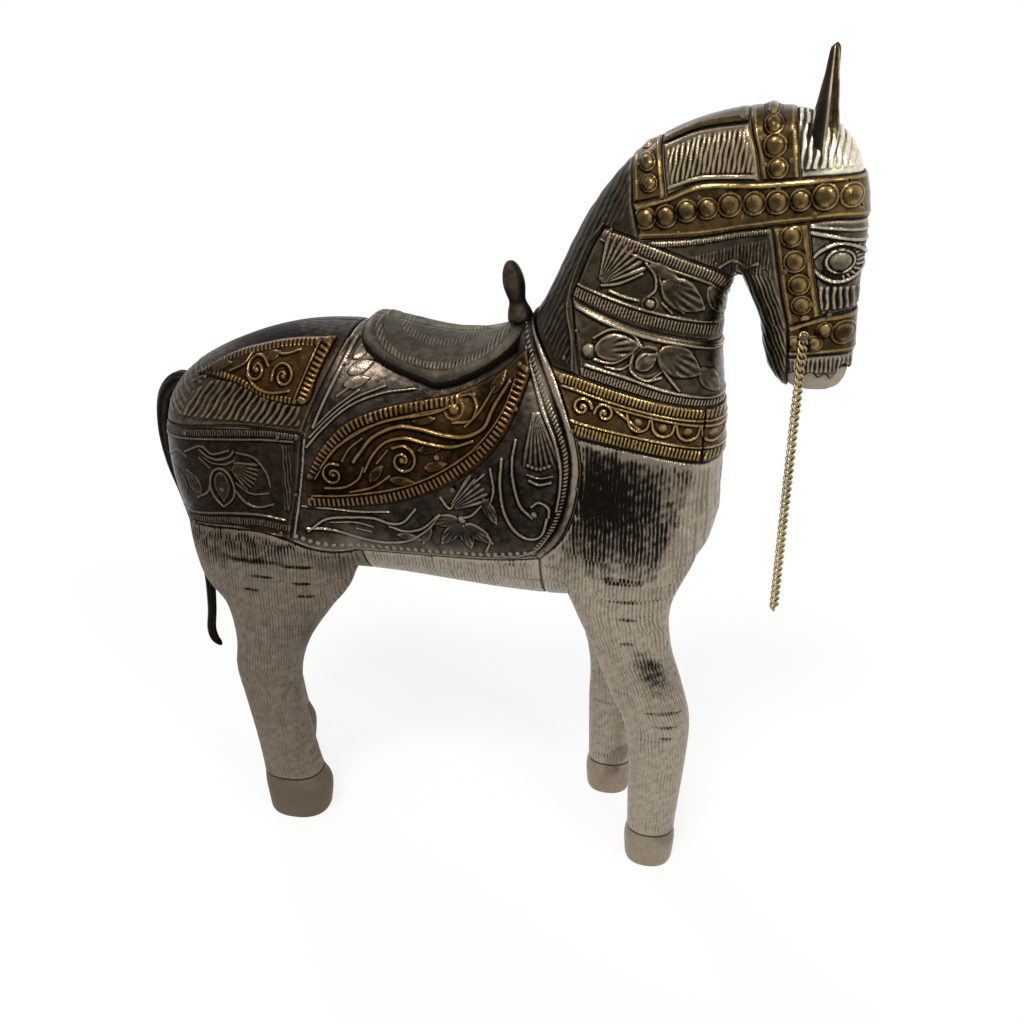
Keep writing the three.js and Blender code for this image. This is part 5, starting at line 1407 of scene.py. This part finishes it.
strap_brass = metal("old brass of the straps", 0.36, 0.040, 0.005, tint=(1.0, 0.66, 0.26), rough=(0.14, 0.26),
                    grit=0.14)
# The straps' bosses carry a painted reflection and highlight; the brow band has a painted highlight at its
# front and a little painted shade at its rear.
for part, (edge, bosses, lines) in STRAPS.items():
    sheet(f"{part}_brass", edge, 0, strap_brass, [part], facet=CHASED, rise=0.5,
          work=embossed(bosses, *lines),
          tone=painted_boss_light(bosses, light_and_wear_spots((116, 240, 7, 7, 0.12), (60, 232, 10, 7, -0.03))))
cheek_work = embossed(
    CHEEK_BOSSES, cord([(95, 229.4), (98.8, 212.6), (101.8, 201.6)], 0.9, 0.15),
    cord([(101.9, 231), (104.2, 221.2), (108.4, 204.6)], 0.9, 0.15), boss(105.4, 204, 1.5, 0.5),
)
SWAG = ((-3.5, 175.6), (-2.6, 172), (0, 170.2), (2.6, 171), (3.5, 173.8))
SWAGS, BREAST_SLOPE = (58, 65.5, 73, 80.5, 88), 0.24
breast_work = chased(
    cord([(34, 183.6), (39.8, 182.4), (58.6, 177.3), (76.8, 173), (95, 169.4)], 3.2, 0.35, 1.15),
    cord([(34, 181.4), (39.6, 180.2), (58.2, 175.2), (76.4, 170.9), (95, 167.3)], 1.0, 0.45),
    cord([(36.4, 168.8), (39.6, 167.8), (59.6, 164), (78.8, 159.4), (95, 155.9)], 3.2, 0.35, 1.15),
    cord([(36, 171.2), (40, 170), (59.8, 166.2), (79, 161.6), (95, 158.1)], 1.0, 0.45),
    scroll(40.4, 175.4, 3.2, 0, 1.3, 1.1, 0.55), scroll(47.6, 174, 3.2, 180, -1.3, 1.1, 0.55),
    cord([(50.6, 175.4), (54.4, 172.6), (58.4, 169.4)], 1.0, 0.45),
    cord([(46, 177), (52, 175.6), (60, 173.6), (70, 171), (80, 168.4), (90, 166)], 1.0, 0.35),
    *(cord([(x + dx, z - BREAST_SLOPE * (x - 52)) for dx, z in SWAG], 1.0, 0.42) for x in SWAGS),
    *(boss(x, 173 - BREAST_SLOPE * (x - 52), 1.4, 0.4) for x in SWAGS),
)
BREAST_LAP = 77.8
for name, side in SIDES:
    sheet(f"cheek_strap_{name}_brass", CHEEK, side, strap_brass, [f"cheek_strap_{name}"],
          facet=CHASED, rise=0.5, work=cheek_work, tone=painted_boss_light(CHEEK_BOSSES, light_and_wear_spots()))

    def band_end(p):
        if side < 0:
            return np.maximum(p[:, 1], p[:, 0] - BREAST_LAP) + GAP / 2
        return np.minimum(-p[:, 1], BREAST_LAP - p[:, 0]) + GAP / 2
    sheet(f"breast_band_{name}_brass", BREAST, 0, strap_brass, [f"breast_band_{name}"],
          facet=CHASED, rise=0.5, also=band_end, work=breast_work)

# The ears are curled leaves of dark bronze, pegged into the head with their mouths forward and outward.
# They are dark outside and bright inside and along the edge, partly from rubbing and partly a painted
# highlight.
bronze = metal("dark cast bronze", 0.07, 0.016, 0.004, tint=(1.0, 0.78, 0.55), blotch=0.6, rough=(0.36, 0.55),
               grit=0.5, rise=-0.08, high=0.12, edge=0.0)
# The tail's bronze is near black, partly as painted shade for the shadow it hangs in behind the rump.
shaded_tail_bronze = metal("near-black bronze of the tail, partly painted shade", 0.035, 0.009, 0.003, tint=(1.0, 0.80, 0.62), blotch=0.6,
                    rough=(0.4, 0.6), grit=0.5, rise=-0.02, high=0.12, edge=0.0)
lit_ear_lining = metal("inside of the ears, partly painted lit", 0.60, 0.07, 0.02, tint=(1.0, 0.80, 0.52), blotch=0.6,
                   rough=(0.3, 0.5), grit=0.4, edge=0.0, rise=-0.1, high=0.12)
EAR_X, EAR_Y, EAR_HEIGHT, EAR_RADIUS, EAR_TAPER, EAR_WALL = 105.6, 11.4, 30, 4.8, 0.78, 1.0
EAR_LEAN, EAR_BACK, EAR_TURN, EAR_ARC = math.radians(4), 0.13, math.radians(37), 1.45 * math.pi


def wrapped(rows, columns):
    """Triangles between rows of points, each row a closed ring."""
    r, c = np.meshgrid(np.arange(rows - 1), np.arange(columns), indexing="ij")
    here, over = r * columns + c, r * columns + (c + 1) % columns
    up, far = here + columns, over + columns
    return np.vstack([np.stack([here, over, far], -1).reshape(-1, 3),
                      np.stack([here, far, up], -1).reshape(-1, 3)])


def mark(piece, wear_and_light):
    """Gives a piece that is no sheet the two maps that the metals read."""
    for key, values in (("wear_and_light", wear_and_light), ("edge", EDGE_REACH)):
        give_map(piece.data, key, np.broadcast_to(values, len(piece.data.vertices)))


for name, side in SIDES:
    lean = np.array([-EAR_BACK + 0.07 * (side > 0), side * math.sin(EAR_LEAN), 1])
    lean /= np.linalg.norm(lean)
    foot = np.array([EAR_X, side * EAR_Y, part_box(f"ear_{name}")[1][2] / MM - EAR_HEIGHT * lean[2]])
    rows, steps = 34, 22
    rings = []
    for t in np.linspace(0, 1, rows):
        tip = math.sqrt(max(1 - max((t - 0.95) / 0.05, 0) ** 2, 0.05))
        reach = EAR_RADIUS * (1 - EAR_TAPER * t) * (0.6 + 0.4 * ease(0, 0.26, t)) * tip
        wall = min(EAR_WALL, reach * 0.5) * (1 - 0.45 * t)
        middle = foot + lean * EAR_HEIGHT * t + [EAR_RADIUS * EAR_TAPER * t, 0, 0]
        turn = side * EAR_TURN + math.pi + np.linspace(-0.5, 0.5, steps) * EAR_ARC
        dent = 1 + 0.018 * np.sin(5 * turn + 9 * t) + 0.012 * np.sin(23 * t)
        lip = np.sin(np.linspace(0, np.pi, steps)) ** 0.35
        outer = np.stack([reach * dent * np.cos(turn), reach * dent * np.sin(turn), 0 * turn], -1)
        inner_reach = reach * dent - wall * (0.35 + 0.65 * lip)
        inner = np.stack([inner_reach * np.cos(turn), inner_reach * np.sin(turn), 0 * turn], -1)[::-1]
        rings.append(middle + np.vstack([outer, inner]))
    points, tris = plugged(np.vstack(rings), wrapped(rows, 2 * steps))
    ear = mesh_object(f"curled_ear_{name}", points, tris)
    column = np.append(np.tile(np.arange(2 * steps), rows), [0] * (len(points) - rows * 2 * steps))
    from_lip = np.minimum(np.abs(column - steps + 0.5), np.minimum(column, 2 * steps - 1 - column))
    # The lip is made lighter: a painted highlight along the edge, partly rubbing.
    mark(ear, np.where(from_lip < 2.2, 0.2, -0.02))
    finish(ear, bronze, [f"ear_{name}"], sharp=70)
    # The inside of each ear takes the lighter lining, partly a painted highlight.
    ear.data.materials.append(lit_ear_lining)
    at_column = tris % (2 * steps)
    inside = ((tris < rows * 2 * steps) & ((at_column >= steps - 2) | (at_column < 1))).all(1)
    ear.data.polygons.foreach_set("material_index", inside.astype(np.int32))

# The tail is a cast bronze rod with strands cut along it, thick at the root and turned out at its tip, on a
# tang driven into the rump.
TAIL = [
    (-104, 165, 3.4), (-109.6, 166.7, 4.0), (-114.7, 160.7, 4.5), (-116.6, 149, 4.5), (-115.2, 136, 4.3),
    (-111.9, 122, 3.6), (-109, 105, 2.8), (-108, 90, 2.1), (-108.7, 74, 1.8), (-110, 64.4, 1.8),
    (-109.3, 59.8, 1.7), (-107.2, 57.4, 1.1), (-106.4, 57.2, 0.4),
]
path = spline(TAIL, 12)
forward = np.gradient(path[:, [0, 1]], axis=0)
forward /= np.linalg.norm(forward, axis=1)[:, None]
turn = 2 * np.pi * np.arange(48) / 48
run = np.cumsum(np.append(0, np.linalg.norm(np.diff(path[:, :2], axis=0), axis=1)))[:, None]
strand = np.cos(9 * turn + 0.055 * run) + 0.5 * np.cos(5 * turn - 0.03 * run + 1)
reach = path[:, 2:3] * (0.95 + 0.035 * strand)
across = np.stack([-forward[:, 1], forward[:, 0]], -1)
x = path[:, :1] + across[:, :1] * reach * np.cos(turn)
z = path[:, 1:2] + across[:, 1:] * reach * np.cos(turn)
points = np.stack([x, reach * np.sin(turn), z], -1).reshape(-1, 3)
points, tris = plugged(points, wrapped(len(path), 48)[:, ::-1])
tail = mesh_object("cast_tail", points, tris)
mark(tail, np.append(0.06 * strand.ravel(), [0, 0]))
finish(tail, shaded_tail_bronze, ["tail"], sharp=70)

# The pommel, a cast bronze bud on a flared foot, with faint facets. It is pegged into the front of the
# saddle, through the two sheets of the seat, and leans back.
POMMEL_X, POMMEL_LEAN = 15.8, math.radians(-11.5)
PAD_HEIGHT = 3.9    # of the seat's middle over the carving
BUD = [
    (4.1, 0.02), (4.35, 0.5), (4.4, 1.4), (4.2, 2.6), (3.8, 4), (3.15, 5.6), (2.9, 6.8), (3.0, 7.9),
    (3.45, 9.8), (3.75, 12), (3.65, 14.2), (3.1, 16.6), (2.2, 18.5), (1.2, 19.6), (0.02, 20),
]
profile = np.maximum(spline(BUD, 4), 0.02)
turn = 2 * np.pi * np.arange(48) / 48
facets = 1 - 0.022 * (1 - np.cos(8 * turn + 0.12 * profile[:, 1:2])) * np.minimum(profile[:, :1] / 2, 1)
reach = profile[:, :1] * facets
points = np.stack([reach * np.cos(turn), reach * np.sin(turn), np.repeat(profile[:, 1:2], 48, 1)], -1)
points = points.reshape(-1, 3)
cos, sin = math.cos(POMMEL_LEAN), math.sin(POMMEL_LEAN)
skin = seat_skins[CHASED][0]
under = np.hypot(skin[:, 0] - POMMEL_X, skin[:, 1]) < 1.2
seat_top = skin[under][:, 2].max() + PAD_HEIGHT
points = np.stack([
    POMMEL_X + points[:, 0] * cos + points[:, 2] * sin, points[:, 1],
    seat_top - points[:, 0] * sin + points[:, 2] * cos,
], -1)
points, tris = plugged(points, wrapped(len(profile), 48))
pommel = mesh_object("saddle_bud", points, tris)
ridge = sum(much * np.exp(-((profile[:, 1] - z) / tall) ** 2)
            for z, tall, much in ((2.2, 1.4, 0.08), (12, 3, 0.06), (6.8, 0.9, -0.06)))
mark(pommel, np.append(np.repeat(ridge, 48), [0, 0]))
finish(pommel, bronze, ["saddle_pommel"], sharp=45)

# Small round-headed tacks of brass wire hold the sheets to the wood. A node tree sets a head on each
# place, turned outward and of its own size.
tack_metal = metal("tack heads", 0.30, 0.08, 0.02, tint=(1.0, 0.76, 0.44), blotch=0.5, rough=(0.25, 0.45),
                   edge=0.0)
TACKS = [
    (82, 261, 1.1), (87.1, 255.4, 0.8), (52.3, 247.2, 0.8), (60.5, 239.4, 0.9), (89, 248.6, 0.8),
    (97.1, 250.2, 1.3), (72.1, 239.4, 1.1), (83.7, 232.4, 1.0), (105.1, 235.4, 1.1), (93.1, 242.7, 1.1),
    (66.9, 229, 1.0), (55, 227.6, 1.2), (91.6, 216.5, 1.2), (97.3, 217.2, 1.1), (95.9, 200.4, 0.9),
    (100.5, 202.2, 0.9), (107.1, 207.6, 1.2), (112.9, 204.7, 1.1), (4.2, 176.5, 1.1), (18.5, 186.2, 1.1),
    (18.5, 173.8, 1.0), (-11.5, 173.1, 1.0), (-28.1, 167.7, 1.0), (-43.5, 157.3, 1.0), (-1.9, 146.5, 1.1),
    (-49.5, 137.4, 1.0), (-25, 140, 0.9), (37.6, 181.4, 1.0), (62.5, 177.6, 1.1), (38.4, 168.2, 1.0),
    (79.4, 173.6, 1.0), (80.4, 160.4, 1.0), (58, 165.2, 0.9), (-91, 175.6, 0.9), (-71, 185.2, 0.9),
    (-52.6, 188, 0.9), (-52.5, 172.4, 0.9), (-66.6, 171.6, 0.9), (33, 190.4, 0.9), (37, 198.8, 0.8),
    (36.4, 210, 0.8), (45.6, 229, 0.8), (78.6, 218.4, 0.9), (-97.5, 157, 0.9), (-60, 159.8, 0.9),
    (-97, 124.6, 0.9), (-61.6, 125, 0.9), (-55.6, 138, 0.8), (30.4, 124.6, 0.9), (40.6, 150, 0.8),
    (-30, 118.2, 0.8), (0, 119.2, 0.8),
]
ON_LEAF, ON_SHEET = 1.35, 0.55    # how far the middle of a tack's head stands from the carving
HEAD_SHARE = 0.8                  # the head's own radius, as a part of the one in the list
places, facing, sizes = [], [], []
co, normals, _ = SKINS[PLAIN]
for side in (-1, 1):
    u, v = side_view(co, side)
    for x, z, listed in TACKS:
        near = np.flatnonzero((np.abs(u - x) < 1) & (np.abs(v - z) < 1) & (side * co[:, 1] > 0))
        at = near[(side * co[near, 1]).argmax()]
        on_leaf = -53 < x < 22 and 135 < z < 188
        places.append(co[at] + normals[at] * (ON_LEAF if on_leaf else ON_SHEET))
        facing.append(normals[at])
        sizes.append(HEAD_SHARE * listed)
seats = bpy.data.meshes.new("tack places")
seats.from_pydata((np.array(places) * MM).tolist(), [], [])
give_map(seats, "facing", facing, "FLOAT_VECTOR")
give_map(seats, "size", np.array(sizes) * MM)
tacks = bpy.data.objects.new("tacks", seats)
bpy.context.scene.collection.objects.link(tacks)


def plain_copy(source, tree, inputs):
    """Runs a tree on an object, and turns the result into its plain mesh."""
    modifier = source.modifiers.new("make", "NODES")
    modifier.node_group = tree
    for item in tree.interface.items_tree:
        if item.in_out == "INPUT" and item.name in inputs:
            modifier[item.identifier] = inputs[item.name]
    made = bpy.data.meshes.new_from_object(source.evaluated_get(bpy.context.evaluated_depsgraph_get()))
    source.modifiers.remove(modifier)
    source.data = made


def geometry_tree(name, inputs):
    tree = bpy.data.node_groups.new(name, "GeometryNodeTree")
    tree.interface.new_socket("Geometry", in_out="INPUT", socket_type="NodeSocketGeometry")
    for key, kind in inputs:
        tree.interface.new_socket(key, in_out="INPUT", socket_type=f"NodeSocket{kind}")
    tree.interface.new_socket("Geometry", in_out="OUTPUT", socket_type="NodeSocketGeometry")
    nodes = Nodes(tree)
    return tree, nodes, nodes.add("NodeGroupInput").outputs


tree, nodes, given = geometry_tree("tack heads", [("Dome", "Float"), ("Metal", "Material"), ("Seed", "Int")])
head = nodes.add("GeometryNodeMeshUVSphere", Segments=12, Rings=7, Radius=1.0)
flat = nodes.add("ShaderNodeCombineXYZ", X=1.0, Y=1.0, Z=given["Dome"])
head = nodes.add("GeometryNodeTransform", Geometry=head.outputs["Mesh"], Scale=flat.outputs[0])
way = nodes.add("GeometryNodeInputNamedAttribute", {"data_type": "FLOAT_VECTOR"}, Name="facing")
turned = nodes.add("FunctionNodeAlignRotationToVector", {"axis": "Z"}, Vector=way.outputs["Attribute"])
size = nodes.add("GeometryNodeInputNamedAttribute", {"data_type": "FLOAT"}, Name="size")
dice = nodes.add("FunctionNodeRandomValue", {"data_type": "FLOAT"})
nodes.set(dice, "i2", 0.9)
nodes.set(dice, "i3", 1.1)
nodes.set(dice, "Seed", given["Seed"])
scale = nodes.times(size.outputs["Attribute"], dice.outputs[1])
set_on = nodes.add("GeometryNodeInstanceOnPoints", Points=given["Geometry"], Instance=head.outputs[0],
                   Rotation=turned.outputs[0], Scale=scale)
whole = nodes.add("GeometryNodeRealizeInstances", Geometry=set_on.outputs[0])
dressed = nodes.add("GeometryNodeSetMaterial", Geometry=whole.outputs[0], Material=given["Metal"])
nodes.set(nodes.add("NodeGroupOutput"), "Geometry", dressed.outputs[0])
plain_copy(tacks, tree, {"Dome": 0.5, "Metal": tack_metal, "Seed": 3})
mark(tacks, 0.05)
tacks.data.polygons.foreach_set("use_smooth", np.ones(len(tacks.data.polygons), bool))
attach(tacks, "horse")

# The bit nail, of brass wire, driven through the nose band into the wood. Its small round head holds the
# first link of the chain.
NAIL_X, NAIL_Z, NAIL_HEAD = 105.4, 199.4, 0.7
# A link is measured between the middles of its wire, and the wire by its radius.
LINK_LONG, LINK_WIDE, WIRE, LINK_PITCH = 3.0, 2.6, 0.45, 2.2
head_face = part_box("bit_nail")[0][1] / MM
CHAIN_Y = head_face + NAIL_HEAD + LINK_WIDE / 2 + WIRE
profile = np.array([
    (0.02, 12), (0.4, 10), (0.4, 0.9), (0.55, 0.75), (1.15, NAIL_HEAD), (1.2, 0.5), (1.02, 0.22), (0.6, 0.05),
    (0.02, 0),
])
turn = 2 * np.pi * np.arange(20) / 20
points = np.stack([
    NAIL_X + profile[:, :1] * np.cos(turn), head_face + np.repeat(profile[:, 1:], 20, 1),
    NAIL_Z + profile[:, :1] * np.sin(turn),
], -1).reshape(-1, 3)
points, tris = plugged(points, wrapped(len(profile), 20))
bit_nail = mesh_object("nail_of_the_bit", points, tris)
mark(bit_nail, 0.05)
finish(bit_nail, tack_metal, ["bit_nail"], sharp=40)

# The curb chain of gilt wire hangs from the nail in four stiff lengths, each hooked in the one above.
# Every link is an oval of round wire with a quarter turn between its ends.
gilt = metal("gilt wire", 0.80, 0.36, 0.08, tint=(1.0, 0.79, 0.40), blotch=0.5, rough=(0.2, 0.36), grit=0.1,
             edge=0.0)
turn = 2 * np.pi * np.arange(28) / 28


def along_link(angle):
    """The middle of the wire round one link."""
    across, up = LINK_WIDE / 2 * np.cos(angle), LINK_LONG / 2 * np.sin(angle)
    twist = np.pi / 4 * (1 - np.sin(np.pi * up / LINK_LONG))
    return np.stack([across * np.cos(twist), across * np.sin(twist), up], -1)


middle = along_link(turn)
forward = along_link(turn + 0.01) - along_link(turn - 0.01)
forward /= np.linalg.norm(forward, axis=1)[:, None]
outward = middle - forward * (middle * forward).sum(1)[:, None]
outward /= np.linalg.norm(outward, axis=1)[:, None]
over = np.cross(forward, outward)
around = (2 * np.pi * np.arange(8) / 8)[None, :, None]
ring = middle[:, None] + WIRE * (outward[:, None] * np.cos(around) + over[:, None] * np.sin(around))
r, c = np.meshgrid(np.arange(28), np.arange(8), indexing="ij")
a, b, d, e = (((r + i) % 28) * 8 + (c + k) % 8 for i, k in ((0, 0), (0, 1), (1, 1), (1, 0)))
tris = np.vstack([np.stack([a, b, d], -1).reshape(-1, 3), np.stack([a, d, e], -1).reshape(-1, 3)])
one_link = mesh_object("one_link", ring.reshape(-1, 3) * MM, tris)
tree, nodes, given = geometry_tree(
    "chain length", [("Link", "Object"), ("Links", "Int"), ("Pitch", "Float"), ("Metal", "Material")])
step = nodes.add("ShaderNodeCombineXYZ", Z=nodes.times(given["Pitch"], -1.0))
line = nodes.add("GeometryNodeMeshLine", Count=given["Links"], Offset=step.outputs[0])
source = nodes.add("GeometryNodeObjectInfo", Object=given["Link"])
hung = nodes.add("GeometryNodeInstanceOnPoints", Points=line.outputs[0], Instance=source.outputs["Geometry"])
whole = nodes.add("GeometryNodeRealizeInstances", Geometry=hung.outputs[0])
dressed = nodes.add("GeometryNodeSetMaterial", Geometry=whole.outputs[0], Material=given["Metal"])
nodes.set(nodes.add("NodeGroupOutput"), "Geometry", dressed.outputs[0])
for i, (top, links) in enumerate(((200.45, 11), (176.55, 11), (152.65, 11), (128.75, 10))):
    length = mesh_object(f"curb_chain_{i + 1}", np.zeros((3, 3)), [(0, 1, 2)])
    plain_copy(length, tree, {"Link": one_link, "Links": links, "Pitch": LINK_PITCH * MM, "Metal": gilt})
    at = points_of(length.data) / MM + [NAIL_X, CHAIN_Y, top - LINK_LONG / 2]
    set_points(length.data, at)
    mark(length, 0.04)
    finish(length, gilt, [f"rein_chain_{i + 1}"], sharp=180, body=f"chain_{i + 1}")
bpy.data.objects.remove(one_link)

# The floor and the light: a plain pale floor, a white room, a broad lamp above and two soft ones beside
# it. To the eye the floor glows a little, so that only the soft shadow at the feet shows on it.
floor = mesh_object("floor",
                    [(-3000, -3000, -0.05), (3000, -3000, -0.05), (3000, 3000, -0.05), (-3000, 3000, -0.05)],
                    [(0, 1, 2), (0, 2, 3)])
set_points(floor.data, points_of(floor.data) * MM)


def seen_plainly(nodes):
    """One where the camera, a reflection or a clear piece looks straight at a thing."""
    rays = nodes.add("ShaderNodeLightPath").outputs
    return nodes.maths("MAXIMUM", rays["Is Camera Ray"],
                       nodes.maths("MAXIMUM", rays["Is Glossy Ray"], rays["Is Transmission Ray"]))


pale, nodes, shader = new_material("pale floor")
shader.inputs["Base Color"].default_value = (0.90, 0.89, 0.875, 1)
shader.inputs["Roughness"].default_value = 0.95
shader.inputs["Specular IOR Level"].default_value = 0.1
glow = nodes.add("ShaderNodeEmission", Color=(1, 1, 1, 1), Strength=1.08)
seen = nodes.times(0.75, seen_plainly(nodes))
both = nodes.add("ShaderNodeMixShader")
for name, socket in (("i0", seen), ("i1", shader.outputs[0]), ("i2", glow.outputs[0])):
    nodes.set(both, name, socket)
nodes.set(pale.node_tree.nodes["Material Output"], "Surface", both.outputs[0])
floor.data.materials.append(pale)

world = bpy.data.worlds.new("room")
world.use_nodes = True
nodes = Nodes(world.node_tree)
back = nodes.add("ShaderNodeBackground", Color=(1, 1, 1, 1))
nodes.set(back, "Strength", nodes.plus(0.40, nodes.times(0.60, seen_plainly(nodes))))
nodes.set(nodes.add("ShaderNodeOutputWorld"), "Surface", back.outputs[0])
bpy.context.scene.world = world


def lamp(name, azimuth, height, spread, strength):
    """A broad soft lamp, far away, at so many degrees round from the nose and above the floor."""
    light = bpy.data.lights.new(name, "SUN")
    light.angle, light.energy = math.radians(spread), strength
    made = bpy.data.objects.new(name, light)
    a, e = math.radians(azimuth), math.radians(height)
    made.rotation_mode = "QUATERNION"
    made.rotation_quaternion = Vector(
        (-math.cos(a) * math.cos(e), -math.sin(a) * math.cos(e), -math.sin(e))).to_track_quat("-Z", "Y")
    bpy.context.scene.collection.objects.link(made)


lamp("lamp above", -100, 58, 16, 1.15)
lamp("lamp in front", -40, 36, 12, 0.6)
lamp("lamp behind", 130, 40, 16, 0.4)

bpy.context.scene.view_settings.view_transform = "Standard"
bpy.context.view_layer.update()
